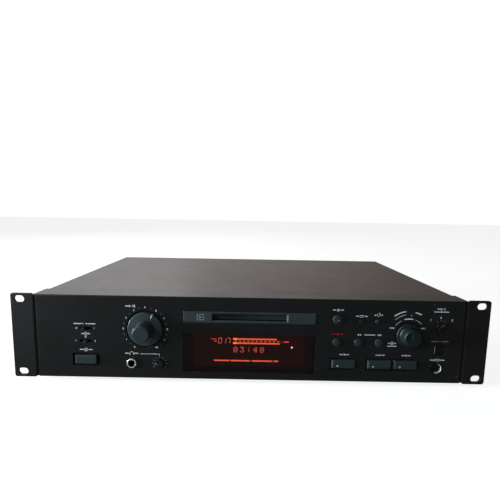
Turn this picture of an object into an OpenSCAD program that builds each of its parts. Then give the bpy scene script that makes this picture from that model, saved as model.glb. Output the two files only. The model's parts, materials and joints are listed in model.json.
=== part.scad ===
// Rack-mount minidisc deck, two rack units high.
// Every size is in millimetres. While a piece is built, X runs along the front, Y runs back
// from the front face of the rack ears and Z rises from the underside of the chassis.
// on_feet() then lifts the deck onto its feet and centres its depth on the origin.

/* [Rack ears] */
// Width across both rack ears
rack_w = 482.6; // [478:0.1:486]
// Height of an ear, two rack units less the usual clearance
rack_h = 88; // [87.5:0.1:90]
// Width of an ear beside the fascia
ear_w = 24.5; // [23.5:0.1:25.5]
// Distance of the ear slots' centres from the ear's outer edge
ear_slot_edge = 8.75; // [8:0.05:9.5]
// Distance between the ear slots up one ear
slot_span_z = 76.2; // [70:0.1:78]
// Length of an ear slot from end to end
ear_slot_len = 10; // [8:0.1:12]
// Width of an ear slot
ear_slot_w = 7; // [5:0.1:7.6]
// Thickness of the ear's steel
ear_t = 2; // [1.5:0.1:2.5]
// Outer radius of the ear's bend
ear_bend_r = 3; // [2.6:0.1:4]
// Radius of the ear's outer corners
ear_corner_r = 2.5; // [1:0.1:4]
// How much the ear's side flange is shorter than its front plate at each end
ear_flange_in = 1; // [0:0.1:2]
// Distance of the ear screws behind the ear's face
ear_screw_y = 13; // [10:0.5:18]
// Distance between neighbouring ear screws
ear_screw_step = 29; // [24:0.5:31]

/* [Case] */
// Height of the moulded fascia
fascia_h = 86.6; // [86:0.1:87.6]
// Gap between the fascia's lower edge and the underside of the chassis
fascia_lift = 0.4; // [0.2:0.1:0.8]
// Depth of the fascia from front to back
fascia_d = 25; // [22:0.5:30]
// Thickness of the fascia's front face
face_t = 3.2; // [3:0.1:4]
// Thickness of the fascia's outer walls
fascia_wall = 2.2; // [1.8:0.1:2.6]
// Bevel round the fascia's front edge
fascia_bevel = 0.8; // [0.4:0.1:1.2]
// Step from the fascia's side in to the cover's side
cover_step = 0; // [0:0.1:1.5]
// Height of the cover's top above the underside of the chassis
case_h = 87; // [86.8:0.1:90]
// Distance from the ears' face to the outer face of the rear panel
case_d = 260; // [255:1:290]
// Thickness of the case's sheet steel
sheet_t = 1; // [0.8:0.1:1.2]
// Outer radius of the cover's two long bends
cover_bend_r = 2; // [1.5:0.1:3]
// Seam between the fascia and the cover
cover_seam = 0.2; // [0.1:0.05:0.3]
// Height of the cover's lip over the rear panel
lip_h = 11; // [9:0.5:14]
// Height of the chassis pan's low flanges
pan_flange_h = 6.4; // [6:0.1:6.5]
// Height of the pan's front tabs
pan_tab_h = 15; // [14.5:0.5:18]
// Width of the pan's front tabs
pan_tab_w = 16; // [12:0.5:16]

/* [Feet and screws] */
// Height of a foot
foot_h = 6; // [5:0.5:8]
// Radius of a foot at the chassis
foot_r = 13; // [10:0.5:16]
// Distance from the middle of the deck to a foot's centre
foot_x = 180; // [150:1:190]
// Distance of the front feet behind the ears' face
foot_front_y = 55; // [50:1:80]
// Distance of the rear feet in front of the rear panel
foot_rear_gap = 28; // [22:1:60]
// Radius of a case screw's thread
screw_r = 1.5; // [1.4:0.1:1.7]
// Length of a case screw below its head
screw_len = 6; // [5:0.5:6]
// Radius of a case screw's head
screw_head_r = 2.75; // [2.5:0.05:2.8]
// Height of a case screw's head
screw_head_h = 1.8; // [1.4:0.1:2.2]
// Radius of the recess in a screw's head
screw_drive_r = 1.1; // [0.8:0.1:1.4]
// Radial clearance between a screw and the hole it bites in
screw_clear = 0.05; // [0.02:0.01:0.1]

/* [Disc slot and display] */
// Place of the slot and display across the deck, from its middle
centre_x = -0.7; // [-1.5:0.1:1.5]
// Width of the slot's bezel
bezel_w = 133.6; // [128:0.1:138]
// Height of the slot's bezel
bezel_h = 11.7; // [11.4:0.1:12.4]
// Height of the bezel's centre
bezel_z = 66.45; // [66:0.05:67.2]
// How far the bezel stands out of the fascia
bezel_proud = 0.4; // [0.1:0.1:1]
// Depth of the bezel's seat in the fascia
bezel_seat = 1.6; // [1:0.1:2]
// Width of the disc slot
slot_w = 75; // [74:0.1:76]
// Height of the disc slot
slot_h = 6.5; // [6.2:0.1:6.8]
// Flare round the mouth of the slot
slot_flare = 0.9; // [0.4:0.1:1.2]
// Thickness of the slot's flap
flap_t = 1.2; // [1:0.1:1.6]
// Distance of the flap's hinge behind the ears' face
flap_y = 6; // [5.4:0.1:7]
// Radius of the flap's hinge pins
flap_pin_r = 0.9; // [0.7:0.05:0.95]
// Width of the display window
window_w = 135.4; // [130:0.1:138]
// Height of the display window
window_h = 40.9; // [38:0.1:41.6]
// Height of the display window's centre
window_z = 28.75; // [28.4:0.05:29.4]
// How far the window's pane sits behind the fascia's face
window_sink = 0.6; // [0.3:0.1:1]
// Thickness of the flange behind the window's pane
window_flange_t = 1.2; // [1:0.1:1.6]
// Width of the flange round the window's pane
window_rim = 2.2; // [1.5:0.1:2.4]
// Width of the display tube
tube_w = 116; // [100:1:124]
// Height of the display tube
tube_h = 36; // [30:0.5:38]
// Thickness of the display tube
tube_t = 6.4; // [5:0.1:8]

/* [Keys] */
// How far the keys stand out of the fascia
key_proud = 1.5; // [1:0.1:2.5]
// Travel of a key
key_travel = 0.8; // [0.4:0.1:0.8]
// Clearance round a key in its hole
key_clear = 0.3; // [0.2:0.05:0.4]
// Thickness of the flange that holds a key in
key_flange_t = 1; // [0.8:0.1:1.4]
// Width of the flange round a key
key_flange_w = 1; // [0.8:0.1:1.2]
// Radius of the key caps' domed faces
key_dome_r = 16; // [12:0.5:30]
// Radius of the eject key
eject_r = 4.7; // [4:0.1:5]
// Radius of the record and search keys
round_key_r = 4.1; // [3.6:0.1:4.6]
// Radius of the display and play mode keys
small_key_r = 2.1; // [1.8:0.1:2.6]
// Gap between the play and ready keys
bar_gap = 2.2; // [2:0.1:3.6]
// Height of the stop, play and ready keys
bar_h = 9.3; // [8:0.1:9.8]
// Bevel round the face of a bar key
bar_bevel = 1.2; // [0.6:0.1:1.6]
// Margin of the shallow well round the bar keys
bar_margin = 1.7; // [1:0.1:2]
// Depth of the shallow well round the bar keys
bar_well = 1.2; // [0.6:0.1:1.6]
// Place of the eject and record keys
key_col_1 = 87.9; // [86:0.1:89]
// Place of the stop key
stop_x = 96.1; // [95:0.1:97]
// Place of the search back key
search_back_x = 109.8; // [108:0.1:110]
// Place of the search forward key
search_forward_x = 131; // [129:0.1:133]
// Place of the display key
display_x = 111.9; // [110:0.1:113]
// Place of the play mode key
play_mode_x = 128; // [126:0.1:130]
// Place of the play key
play_x = 132.6; // [131:0.1:132.8]
// Place of the ready key
ready_x = 159.2; // [159:0.1:160.5]
// Height of the eject key
eject_z = 66.6; // [65:0.1:68]
// Height of the display and play mode keys
small_row_z = 65; // [64:0.1:68]
// Height of the record and search keys
round_row_z = 42.7; // [41:0.1:44]
// Height of the stop, play and ready keys
bar_row_z = 19.4; // [18.5:0.1:20]

/* [Power and slide switches] */
// Width of the power key
power_w = 21.6; // [20:0.1:22]
// Height of the power key
power_h = 9.2; // [8.6:0.1:9.8]
// Place of the power key
power_x = -167.2; // [-168:0.1:-166]
// Height of the power key's centre
power_z = 19.7; // [19:0.1:21]
// How far the power key stands out of the fascia
power_proud = 1.2; // [0.6:0.1:2]
// Travel of the power key
power_travel = 3; // [2:0.1:3]
// Width of the well round the power key
power_well_w = 27.6; // [26.6:0.1:29]
// Height of the well round the power key
power_well_h = 13.4; // [13:0.1:14.4]
// Depth of the well round the power key
power_well = 2.2; // [1.4:0.1:2.2]
// Place of the two slide switches
slide_x = -167.2; // [-168:0.1:-166]
// Height of the pitch switch
pitch_z = 52.5; // [51.5:0.1:54]
// Height of the timer switch
timer_z = 39.2; // [38.5:0.1:40]
// Distance from one stop of a slide switch to the next
slide_step = 3.8; // [3.4:0.1:3.9]
// Width of a slide switch's window
slide_win_w = 11.7; // [11.7:0.1:13]
// Height of a slide switch's window
slide_win_h = 3; // [2.8:0.1:3.6]
// Width of a slide switch's lever
lever_w = 3.3; // [2.8:0.1:3.3]
// Height of a slide switch's lever
lever_h = 2.2; // [1.8:0.1:2.3]
// How far a slide switch's lever stands out of the fascia
lever_proud = 2; // [1:0.1:3]

/* [Level knobs] */
// Place of the recording level knobs
level_x = -106.3; // [-107:0.1:-105.5]
// Height of the recording level knobs' centre
level_z = 53; // [52.5:0.1:53.5]
// Radius of the outer level knob
outer_knob_r = 17.4; // [16:0.1:18]
// How far the outer level knob stands out of the fascia
outer_knob_proud = 3; // [2:0.1:4]
// Radius of the inner level knob at its root
inner_root_r = 9.6; // [9:0.1:10.4]
// Radius of the inner level knob's face
inner_face_r = 8.2; // [7.5:0.1:8.8]
// How far the inner level knob stands out of the fascia
inner_knob_proud = 17; // [14:0.5:20]
// Radius of the shallow ring recess round the outer level knob
level_recess_r = 19.6; // [19:0.1:20.5]
// Depth of the shallow ring recess round the outer level knob
level_recess = 1.2; // [0.6:0.1:1.4]
// Radius of the outer level knob's hollow spindle
outer_spindle_r = 3.5; // [3.2:0.1:3.8]
// Radius of the inner level knob's spindle
inner_spindle_r = 2; // [1.6:0.1:2.2]
// Width and height of the level control's body
level_pot_w = 24; // [22:0.5:26]
// Width of a painted pointer groove
pointer_w = 0.9; // [0.6:0.1:1.2]
// Depth of a painted pointer groove
pointer_d = 0.3; // [0.2:0.05:0.4]
// Radial clearance of a spindle in its bearing
spindle_clear = 0.05; // [0.03:0.01:0.08]
// Turn of the outer level knob's pointer from upright
outer_pointer = 27; // [-150:1:150]
// Turn of the inner level knob's pointer from upright
inner_pointer = -48; // [-150:1:150]

/* [Headphones] */
// Place of the headphone jack
phones_x = -120.7; // [-122:0.1:-120]
// Height of the headphone jack and of its level knob
phones_z = 16.5; // [16:0.1:17.5]
// Radius of the headphone jack's bore
phones_bore_r = 3.25; // [3.2:0.01:3.4]
// Radius of the headphone jack's threaded neck
phones_neck_r = 4.2; // [4.1:0.1:4.6]
// Radius of the headphone jack's nut
phones_nut_r = 4.8; // [4.7:0.1:6]
// Thickness of the headphone jack's nut
phones_nut_t = 1.5; // [1:0.1:2]
// Place of the headphone level knob
phones_level_x = -92.3; // [-93:0.1:-91.5]
// Radius of the headphone level knob and the input selector
small_knob_r = 4.6; // [4:0.1:5]
// How far the small knobs stand out of the fascia
small_knob_proud = 2.4; // [1.5:0.1:4]
// Turn of the headphone level knob's pointer from upright
phones_pointer = -90; // [-150:1:150]

/* [Jog and selector] */
// Place of the jog knob
jog_x = 160.6; // [160:0.1:161.5]
// Height of the jog knob's centre
jog_z = 51.2; // [50.6:0.1:52]
// Radius of the jog knob's skirt
jog_skirt_r = 12.6; // [12:0.1:13]
// How far the jog knob's skirt stands out of the fascia
jog_skirt_proud = 2.6; // [2:0.1:4]
// Radius of the jog knob's grip at its root
jog_root_r = 9.4; // [9:0.1:10]
// Radius of the jog knob's face
jog_face_r = 8.4; // [8:0.1:8.8]
// How far the jog knob stands out of the fascia
jog_proud = 11; // [9:0.1:13]
// Radius of the ball that shapes the jog knob's finger dimple
jog_dimple_r = 6; // [5:0.1:8]
// Depth of the jog knob's finger dimple
jog_dimple_d = 1.2; // [0.6:0.1:1.6]
// Distance of the jog knob's finger dimple from its axis
jog_dimple_off = 4; // [3:0.1:4.4]
// Turn of the jog knob's finger dimple from upright
jog_dimple_turn = -60; // [-180:1:180]
// Travel of the jog knob when it is pressed
jog_travel = 0.8; // [0.4:0.1:0.8]
// Radius of the jog knob's shaft
jog_shaft_r = 3; // [2.5:0.1:3.2]
// Place of the input selector
selector_x = 192.3; // [191.5:0.1:193]
// Height of the input selector
selector_z = 59.6; // [58.5:0.1:60.5]
// Turn of the input selector's pointer from upright
selector_pointer = 30; // [-30:30:30]

/* [Front jacks] */
// Place of the keyboard jack
keyboard_x = 191.4; // [191:0.1:192]
// Height of the keyboard jack
keyboard_z = 16.4; // [16:0.1:17]
// Radius of the keyboard jack's round front
keyboard_r = 6.3; // [6.1:0.1:6.6]
// Outer radius of the keyboard jack's metal shell
keyboard_shell_r = 5.2; // [5:0.1:5.6]
// Place of the optical jack on the front
optical_x = 193.4; // [192:0.1:193.8]
// Height of the optical jack on the front
optical_z = 36; // [34.5:0.1:37]
// Width of an optical jack
optical_w = 11.6; // [11:0.1:11.8]
// Height of an optical jack
optical_h = 9.2; // [9:0.1:9.6]
// Length of an optical jack
optical_len = 12.4; // [11:0.1:12.6]

/* [Boards] */
// Distance of the front boards behind the ears' face
board_y = 16; // [15.5:0.1:18]
// Thickness of every circuit board
board_t = 1.6; // [1.2:0.1:2]
// Height of the lower boards' posts
board_post_h = 4; // [3.8:0.1:4.2]
// Height of a key switch's body
tact_body_h = 3.5; // [3:0.1:4]
// Height of a key switch with its plunger
tact_h = 5; // [4.5:0.1:5.4]

/* [Minidisc mechanism] */
// Distance of the disc's centre behind the ears' face
disc_y = 68; // [66:0.5:70]
// Inner width of the cartridge holder
holder_in_w = 74; // [73:0.1:75]
// Length of the cartridge holder
holder_len = 76; // [72:0.5:78]
// Drop of the cartridge holder when it loads
holder_drop = 4; // [3:0.1:4.5]
// Travel of the loading cam
cam_travel = 12; // [10:0.5:13]
// Travel of the optical sled
sled_travel = 17; // [14:0.5:17]
// Thickness of the mechanism's sheet metal
mech_t = 1.5; // [1.2:0.1:1.6]
// Height of the mechanism's deck above the underside of the chassis
mech_deck_z = 46; // [45.6:0.1:46.2]
// Inner width of the mechanism's frame
mech_in_w = 89; // [88:0.5:94]
// Radius of the mechanism's lifting and guide pins
mech_pin_r = 1.5; // [1.3:0.1:1.7]
// Radius of the sled's guide rods
rod_r = 1.5; // [1.2:0.1:1.8]
// Radius of the sled's lead screw
lead_r = 1.6; // [1.4:0.1:1.8]
// Radius of the two drive motors
motor_r = 5.7; // [5:0.1:5.8]
// Number of teeth on the loading gear
gear_teeth = 16; // [16:1:16]
// Module of the loading gear and its rack
gear_module = 1; // [0.95:0.01:1.02]

/* [Rear connectors] */
// How far the phono jacks stand out of the rear panel
phono_proud = 8.5; // [7:0.5:10]
// Radius of a phono jack's barrel
phono_r = 4.15; // [4:0.05:4.2]
// Distance between the two phono jacks of a pair
phono_step = 14; // [12:0.5:15]
// Radius of a microphone jack's shell
xlr_r = 11.8; // [11:0.1:12.2]
// Height of the microphone jacks' centres
xlr_z = 47; // [44:0.5:52]
// Distance between neighbouring microphone jacks
xlr_step = 34; // [33:0.5:36]
// Place of the first microphone jack
xlr_x = 78; // [76:0.5:80]
// Place of the mains inlet
inlet_x = -175; // [-180:1:-170]
// Height of the mains inlet
inlet_z = 46; // [44:1:52]
// Width of the mains inlet's socket
inlet_w = 24.4; // [24:0.1:25]
// Height of the mains inlet's socket
inlet_h = 16.4; // [16:0.1:17]

/* [Hidden] */
$fn = 64;
eps = 0.01;
through = 50;
running = 0.3;
near = 0.1;

// Widths that follow the rack, and the share of their given places that keys and jacks keep
place_w = 433.6;
fascia_w = rack_w - 2 * ear_w;
spread = fascia_w / place_w;
slot_span_x = rack_w - 2 * ear_slot_edge;
cover_w = fascia_w - 2 * cover_step;
mid_x = spread * centre_x;

// Case
y_shift = (inner_knob_proud - case_d - phono_proud) / 2;
fascia_mid_z = fascia_lift + fascia_h / 2;
cover_y = fascia_d + cover_seam;
lip_y = case_d + sheet_t;
panel_y = case_d - sheet_t;
inside_w = cover_w - 2 * sheet_t;
fascia_in_w = fascia_w - 2 * fascia_wall;
board_z = fascia_lift + fascia_wall;
head_room = case_h - sheet_t;

// Screws
bite_r = screw_r + screw_clear;
hole_r = screw_r + 0.2;
boss_r = 4;
ear_boss_len = 5;
low_screw_z = sheet_t + (pan_flange_h - sheet_t) / 2;
front_screw_z = 10.5;
front_screw_xs = [for (side = [-1, 1], x = [77, 205]) side * x];
side_screw_ys = [60, case_d - 30];
lip_screw_xs = [-190, 0, 190];
lip_screw_z = head_room - lip_h / 2;
rear_screw_xs = [-205, -80, 62, 205];
ear_screw_zs = [for (i = [-1 : 1]) rack_h / 2 + i * ear_screw_step];
foot_places = [for (side = [-1, 1], y = [foot_front_y, case_d - foot_rear_gap])
               [side * spread * foot_x, y]];
foot_sink = 3;

// Slot and flap
bezel_lug_t = 2;
bezel_lug_in = slot_w / 2 + 1;
flap_z = bezel_z + slot_h / 2 + 1;
flap_knuckle_r = flap_pin_r + 0.2;
flap_low_z = bezel_z - slot_h / 2 - 0.3;
bezel_hole_w = 2 * (bezel_lug_in + bezel_lug_t + running);
bezel_hole_top = bezel_z + bezel_h / 2 - 0.3;
bezel_hole_low = bezel_z - slot_h / 2 - 1;

// Keys: [place, height, radius] of each round key and [place] of each bar key
round_keys = [[key_col_1, eject_z, eject_r], [key_col_1, round_row_z, round_key_r],
              [display_x, small_row_z, small_key_r], [play_mode_x, small_row_z, small_key_r],
              [search_back_x, round_row_z, round_key_r], [search_forward_x, round_row_z, round_key_r]];
bar_keys = [stop_x, play_x, ready_x];
key_flange_y = face_t + near;
tact_tip_y = board_y - tact_h;
key_stem_y = tact_tip_y - key_travel - near;
key_stem_r = 1.8;
bar_step = spread * (ready_x - play_x);
bar_w = bar_step - bar_gap;
bar_well_h = bar_h + 2 * bar_margin;

// Power switch and slide switches
power_stem = 5;
power_switch_y = 8;
power_stem_end = board_y - 1 - power_travel;
slide_blade_w = 2;
slide_blade_h = 1;
slide_body_y = 10;
slide_blade_end = board_y - 2;

// Knobs
pot_y = 6;
pot_floor = 1;
neck_r = outer_spindle_r + 1;
knob_gap = 0.3;
small_pot_w = 10;
small_pot_y = 9;
small_stem_r = 2;
jog_body_w = 13;
jog_body_y = 9.5;

// Boards: [left edge, right edge, upper edge]
left_board = [-184 * spread, -84 * spread, 80];
centre_board = [-70 * spread, 70 * spread, 58];
right_board = [81 * spread, 199.5 * spread, 80];
board_posts = [[-178, 76], [-88, 76], [-61, 55.4], [61, 55.4], [85, 76], [196, 76]];
board_post_r = 2.4;
phones_body_w = 16;
phones_body_end = 32;

// Boards that lie on the pan: [left, right, front, back]
main_front = 148;
main_edges = [-62 * spread, 205 * spread, main_front, case_d - 8];
power_edges = [-206 * spread, -96 * spread, case_d - 76, case_d - 8];
low_board_z = sheet_t + board_post_h;
low_board_top = low_board_z + board_t;
post_inset = 6;

// Parts on the lower boards, at their distance in front of the rear panel:
// [x, distance, width, depth, height] or [x, distance, radius, height]
main_blocks = [[20, 65, 20, 20, 1.6], [62, 72, 14, 14, 1.6], [62, 46, 10, 16, 1.6],
               [-30, 70, 16, 12, 1.6], [105, 60, 12, 20, 1.6], [140, 75, 22, 8, 6],
               [-10, case_d - main_front - 17, 40, 6, 7], [170, case_d - main_front - 17, 30, 6, 7]];
main_rounds = [for (i = [0 : 4], j = [0 : 1]) [128 + 15 * i, 55 - 15 * j, 4, 11 + 2 * j]];
power_blocks = [[-112, 28, 18, 14, 14]];
power_rounds = [for (i = [0 : 2], big = [0, 1])
                big == 1 ? [-190 + 24 * i, 30, 9, 28] : [-192 + 14 * i, 60, 5, 16]];

// Rear connectors
phono_xs = [-48, 14, 44];
phono_zs = [low_board_top + 11, low_board_top + 11 + phono_step];
phono_bore_r = 1.65;
phono_neck_r = phono_r - 0.5;
phono_foot = 0.5;
rear_optical_xs = [-20, -2];
rear_optical_z = low_board_top + optical_h / 2;
flange_t = 2;
xlr_body_len = 20;
xlr_floor = 14;
xlr_pin_r = 1.2;
xlr_pin_len = 9;
inlet_body_w = inlet_w + 3;
inlet_body_h = inlet_h + 3;
inlet_body_len = 18;
inlet_floor = 16;
inlet_blade_len = 10;

// Mechanism
wall_x = mech_in_w / 2;
mech_front = 30;
mech_wall_end = 116;
mech_top = 72;
deck_top = mech_deck_z + mech_t;
holder_t = 1;
holder_out = holder_in_w / 2 + holder_t;
holder_front = disc_y - 37;
holder_back = holder_front + holder_len;
holder_low = bezel_z - 4.2;
holder_high = bezel_z + 4.2;
holder_lip = 4.5;
pin_ys = [holder_front + 14, holder_front + 66];
pin_z = bezel_z;
pin_slot_w = 2 * (mech_pin_r + running);
cam_x = wall_x + mech_t + running;
cam_t = 1.5;
cam_top = pin_z + 4;
guide_ys = [holder_front + 27, holder_front + 57];
guide_z = deck_top + 7;
guide_slot_w = 2 * (mech_pin_r + 0.1);
pitch_r = gear_teeth * gear_module / 2;
gear_y = disc_y + 12;
gear_z = mech_deck_z - motor_r - 0.2;
rack_z = gear_z + pitch_r;
tooth_add = 0.8 * gear_module;
tooth_ded = 1.1 * gear_module;
motor_len = 14;
motor_shaft_r = 1;
rod_x = 20;
rod_z = deck_top + 5;
rod_front = disc_y + 4;
rod_post = 3;
lead_x = 29;
sled_front = disc_y + 14;
sled_len = 22;
mech_back = sled_front + sled_len + sled_travel + rod_post + 2;
sled_low = deck_top + 2;
sled_high = rod_z + 3;
riser_y = holder_back + 1.5;
riser_t = 4;
head_pivot_y = riser_y + riser_t / 2;
head_pivot_z = holder_high + 2.6;
head_pin_r = 1;
spindle_r = 11;
spindle_h = 4.5;
spindle_floor = 1;

// ---------------------------------------------------------------- placing and shared shapes

module on_feet() translate([0, y_shift, foot_h]) children();

// Turns a shape so that its +Z looks out of the front and its +Y stays up
module front_at(x, z) translate([spread * x, 0, z]) rotate([90, 0, 0]) children();

// Turns a shape so that its +Z looks out of the rear panel
module rear_at(x, z) translate([spread * x, case_d, z]) rotate([-90, 0, 0]) children();

// A block centred on X and Y that stands on Z = 0
module block(w, h, d) translate([-w / 2, -h / 2, 0]) cube([w, h, d]);

// A block between two corners
module span(low, high) translate(low) cube(high - low);

// A block whose upper edges are bevelled
module bevel_block(w, h, d, bevel) {
    intersection() {
        translate([0, h / 2, 0]) rotate([90, 0, 0]) linear_extrude(h) bevel_outline(w, d, bevel);
        translate([-w / 2, 0, 0]) rotate([90, 0, 90]) linear_extrude(w) bevel_outline(h, d, bevel);
    }
}

module bevel_outline(w, d, bevel) {
    polygon([[-w / 2, 0], [w / 2, 0], [w / 2, d - bevel], [w / 2 - bevel, d],
             [bevel - w / 2, d], [-w / 2, d - bevel]]);
}

// The flared mouth of a rectangular opening, widening by flare towards +Z
module flare_block(w, h, flare) {
    intersection() {
        translate([0, h / 2 + flare, 0]) rotate([90, 0, 0]) linear_extrude(h + 2 * flare)
            polygon([[-w / 2, 0], [w / 2, 0], [w / 2 + flare, flare], [-w / 2 - flare, flare]]);
        translate([-w / 2 - flare, 0, 0]) rotate([90, 0, 90]) linear_extrude(w + 2 * flare)
            polygon([[-h / 2, 0], [h / 2, 0], [h / 2 + flare, flare], [-h / 2 - flare, flare]]);
    }
}

// A long round-ended hole along +Z, centred on the origin
module long_hole(len, w, depth) {
    block(len - w, w, depth);
    for (side = [-1, 1]) translate([side * (len - w) / 2, 0, 0]) cylinder(r = w / 2, h = depth);
}

// A case screw with the underside of its head at Z = 0 and its thread below
module screw() {
    difference() {
        union() {
            cylinder(r = screw_head_r, h = screw_head_h);
            translate([0, 0, -screw_len]) cylinder(r = screw_r, h = screw_len + eps);
        }
        translate([0, 0, screw_head_h / 2]) {
            block(2 * screw_drive_r, 0.6, screw_head_h);
            block(0.6, 2 * screw_drive_r, screw_head_h);
        }
    }
}

// The hole that a case screw passes or bites in, reaching below and above Z = 0
module screw_hole(r) translate([0, 0, -screw_len - 1]) cylinder(r = r, h = screw_len + 2);

// Puts children at each ear screw, with +Z out of the side of the ear
module at_ear_screws(side) {
    for (z = ear_screw_zs)
        translate([side * (fascia_w / 2 + ear_t), ear_screw_y, z])
            rotate([0, side * 90, 0]) children();
}

// Puts children at each screw in the cover's sides, with +Z outwards
module at_side_screws() {
    for (side = [-1, 1], y = side_screw_ys)
        translate([side * cover_w / 2, y, low_screw_z]) rotate([0, side * 90, 0]) children();
}

module at_lip_screws() {
    for (x = lip_screw_xs)
        translate([spread * x, lip_y, lip_screw_z]) rotate([-90, 0, 0]) children();
}

module at_rear_screws() {
    for (x = rear_screw_xs) rear_at(x, low_screw_z) children();
}

// Puts children at the screws that hold the fascia to the pan's tabs, with +Z backwards
module at_front_screws() {
    for (x = front_screw_xs)
        translate([spread * x, fascia_d + sheet_t, front_screw_z]) rotate([-90, 0, 0]) children();
}

// Puts children at the foot screws, with +Z downwards from the seat of the head
module at_foot_screws() {
    for (place = foot_places)
        translate([place[0], place[1], foot_sink - foot_h]) rotate([180, 0, 0]) children();
}

module case_screws() {
    color("#2b2d30") on_feet() {
        for (side = [-1, 1]) at_ear_screws(side) screw();
        at_side_screws() screw();
        at_lip_screws() screw();
        at_rear_screws() screw();
        at_front_screws() screw();
        at_foot_screws() screw();
    }
}

// ---------------------------------------------------------------- case

// A flat board on the pan gets a post near each corner
function corners(edges) = [for (x = [edges[0] + post_inset, edges[1] - post_inset],
                                y = [edges[2] + post_inset, edges[3] - post_inset]) [x, y]];

module chassis_pan() {
    color("#8f9396") on_feet() difference() {
        union() {
            span([-inside_w / 2, fascia_d, 0], [inside_w / 2, panel_y, sheet_t]);
            for (side = [-1, 1])
                translate([side * (inside_w - sheet_t) / 2, (fascia_d + panel_y) / 2, 0])
                    block(sheet_t, panel_y - fascia_d, pan_flange_h);
            span([-inside_w / 2, fascia_d, 0], [inside_w / 2, fascia_d + sheet_t, pan_flange_h]);
            span([-inside_w / 2, panel_y - sheet_t, 0], [inside_w / 2, panel_y, pan_flange_h]);
            for (x = front_screw_xs)
                translate([spread * x, fascia_d + sheet_t / 2, 0])
                    block(pan_tab_w, sheet_t, pan_tab_h);
            for (place = concat(corners(main_edges), corners(power_edges)))
                translate([place[0], place[1], 0]) cylinder(r = 3, h = low_board_z);
        }
        at_side_screws() screw_hole(bite_r);
        at_rear_screws() screw_hole(bite_r);
        at_front_screws() screw_hole(hole_r);
        at_foot_screws() screw_hole(bite_r);
    }
}

// The cover's cross section, with its underside open
module cover_outline(w, top, r) {
    translate([-w / 2, fascia_lift]) square([w, top - r - fascia_lift]);
    translate([r - w / 2, fascia_lift]) square([w - 2 * r, top - fascia_lift]);
    for (side = [-1, 1]) translate([side * (w / 2 - r), top - r]) circle(r = r);
}

module top_cover() {
    color("#4d4743") on_feet() difference() {
        union() {
            translate([0, lip_y, 0]) rotate([90, 0, 0]) linear_extrude(lip_y - cover_y) difference() {
                cover_outline(cover_w, case_h, cover_bend_r);
                translate([0, -eps]) cover_outline(inside_w, head_room + eps, cover_bend_r - sheet_t);
            }
            span([1 - inside_w / 2, case_d, head_room - lip_h],
                 [inside_w / 2 - 1, lip_y, head_room + eps]);
        }
        at_side_screws() screw_hole(hole_r);
        at_lip_screws() screw_hole(hole_r);
    }
}

module rear_panel() {
    color("#35373a") on_feet() difference() {
        translate([0, case_d, 0]) rotate([90, 0, 0]) linear_extrude(sheet_t)
            intersection() {
                translate([-inside_w / 2, 0]) square([inside_w, head_room]);
                translate([0, -fascia_lift])
                    cover_outline(inside_w, head_room + fascia_lift, cover_bend_r - sheet_t);
            }
        at_lip_screws() screw_hole(bite_r);
        at_rear_screws() screw_hole(hole_r);
        for (x = phono_xs, z = phono_zs) rear_at(x, z) translate([0, 0, -through / 2])
            cylinder(r = phono_r + running, h = through);
        at_xlr([0 : 3]) translate([0, 0, -through / 2])
            cylinder(r = xlr_r + near, h = through);
        for (x = rear_optical_xs) rear_at(x, rear_optical_z) translate([0, 0, -through / 2])
            block(optical_w + 2 * near, optical_h + 2 * near, through);
        rear_at(inlet_x, inlet_z) translate([0, 0, -through / 2])
            block(inlet_body_w + 2 * near, inlet_body_h + 2 * near, through);
    }
}

module fascia() {
    color("#1b1d1e") on_feet() difference() {
        union() {
            difference() {
                front_at(0, fascia_mid_z) translate([0, 0, -fascia_d])
                    bevel_block(fascia_w, fascia_h, fascia_d, fascia_bevel);
                span([-fascia_in_w / 2, face_t, board_z],
                     [fascia_in_w / 2, fascia_d + 1, fascia_lift + fascia_h - fascia_wall]);
            }
            fascia_bosses();
        }
        for (side = [-1, 1]) at_ear_screws(side) screw_hole(bite_r);
        at_front_screws() screw_hole(bite_r);
        slot_seat();
        window_seat();
        key_holes();
        knob_holes();
        jack_holes();
    }
}

module fascia_bosses() {
    for (x = front_screw_xs) front_at(x, front_screw_z)
        translate([0, 0, -fascia_d]) cylinder(r = boss_r, h = fascia_d - face_t + eps);
    for (side = [-1, 1], z = ear_screw_zs)
        translate([side * (fascia_in_w / 2 - ear_boss_len), ear_screw_y, z]) rotate([0, side * 90, 0])
            cylinder(r = boss_r, h = ear_boss_len + eps);
    for (post = board_posts) front_at(post[0], post[1])
        translate([0, 0, -board_y]) cylinder(r = board_post_r, h = board_y - face_t + eps);
}

module slot_seat() {
    front_at(centre_x, bezel_z) translate([0, 0, -bezel_seat])
        block(bezel_w + 2 * near, bezel_h + 2 * near, through);
    span([mid_x - bezel_hole_w / 2, -1, bezel_hole_low],
         [mid_x + bezel_hole_w / 2, face_t + 1, bezel_hole_top]);
}

module window_seat() {
    front_at(centre_x, window_z) translate([0, 0, -face_t - 1]) block(window_w, window_h, through);
}

module key_holes() {
    for (key = round_keys) front_at(key[0], key[1])
        translate([0, 0, -face_t - 1]) cylinder(r = key[2] + key_clear, h = through);
    for (x = bar_keys) front_at(x, bar_row_z)
        translate([0, 0, -face_t - 1]) block(bar_w + 2 * key_clear, bar_h + 2 * key_clear, through);
    front_at(stop_x, bar_row_z) translate([0, 0, -bar_well])
        block(bar_w + 2 * bar_margin, bar_well_h, through);
    front_at((play_x + ready_x) / 2, bar_row_z) translate([0, 0, -bar_well])
        block(bar_step + bar_w + 2 * bar_margin, bar_well_h, through);
    front_at(power_x, power_z) {
        translate([0, 0, -face_t - 1]) block(power_w + 2 * key_clear, power_h + 2 * key_clear, through);
        translate([0, 0, -power_well]) block(power_well_w, power_well_h, through);
    }
    for (z = [pitch_z, timer_z]) front_at(slide_x, z)
        translate([0, 0, -face_t - 1]) block(slide_win_w, slide_win_h, through);
}

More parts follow.
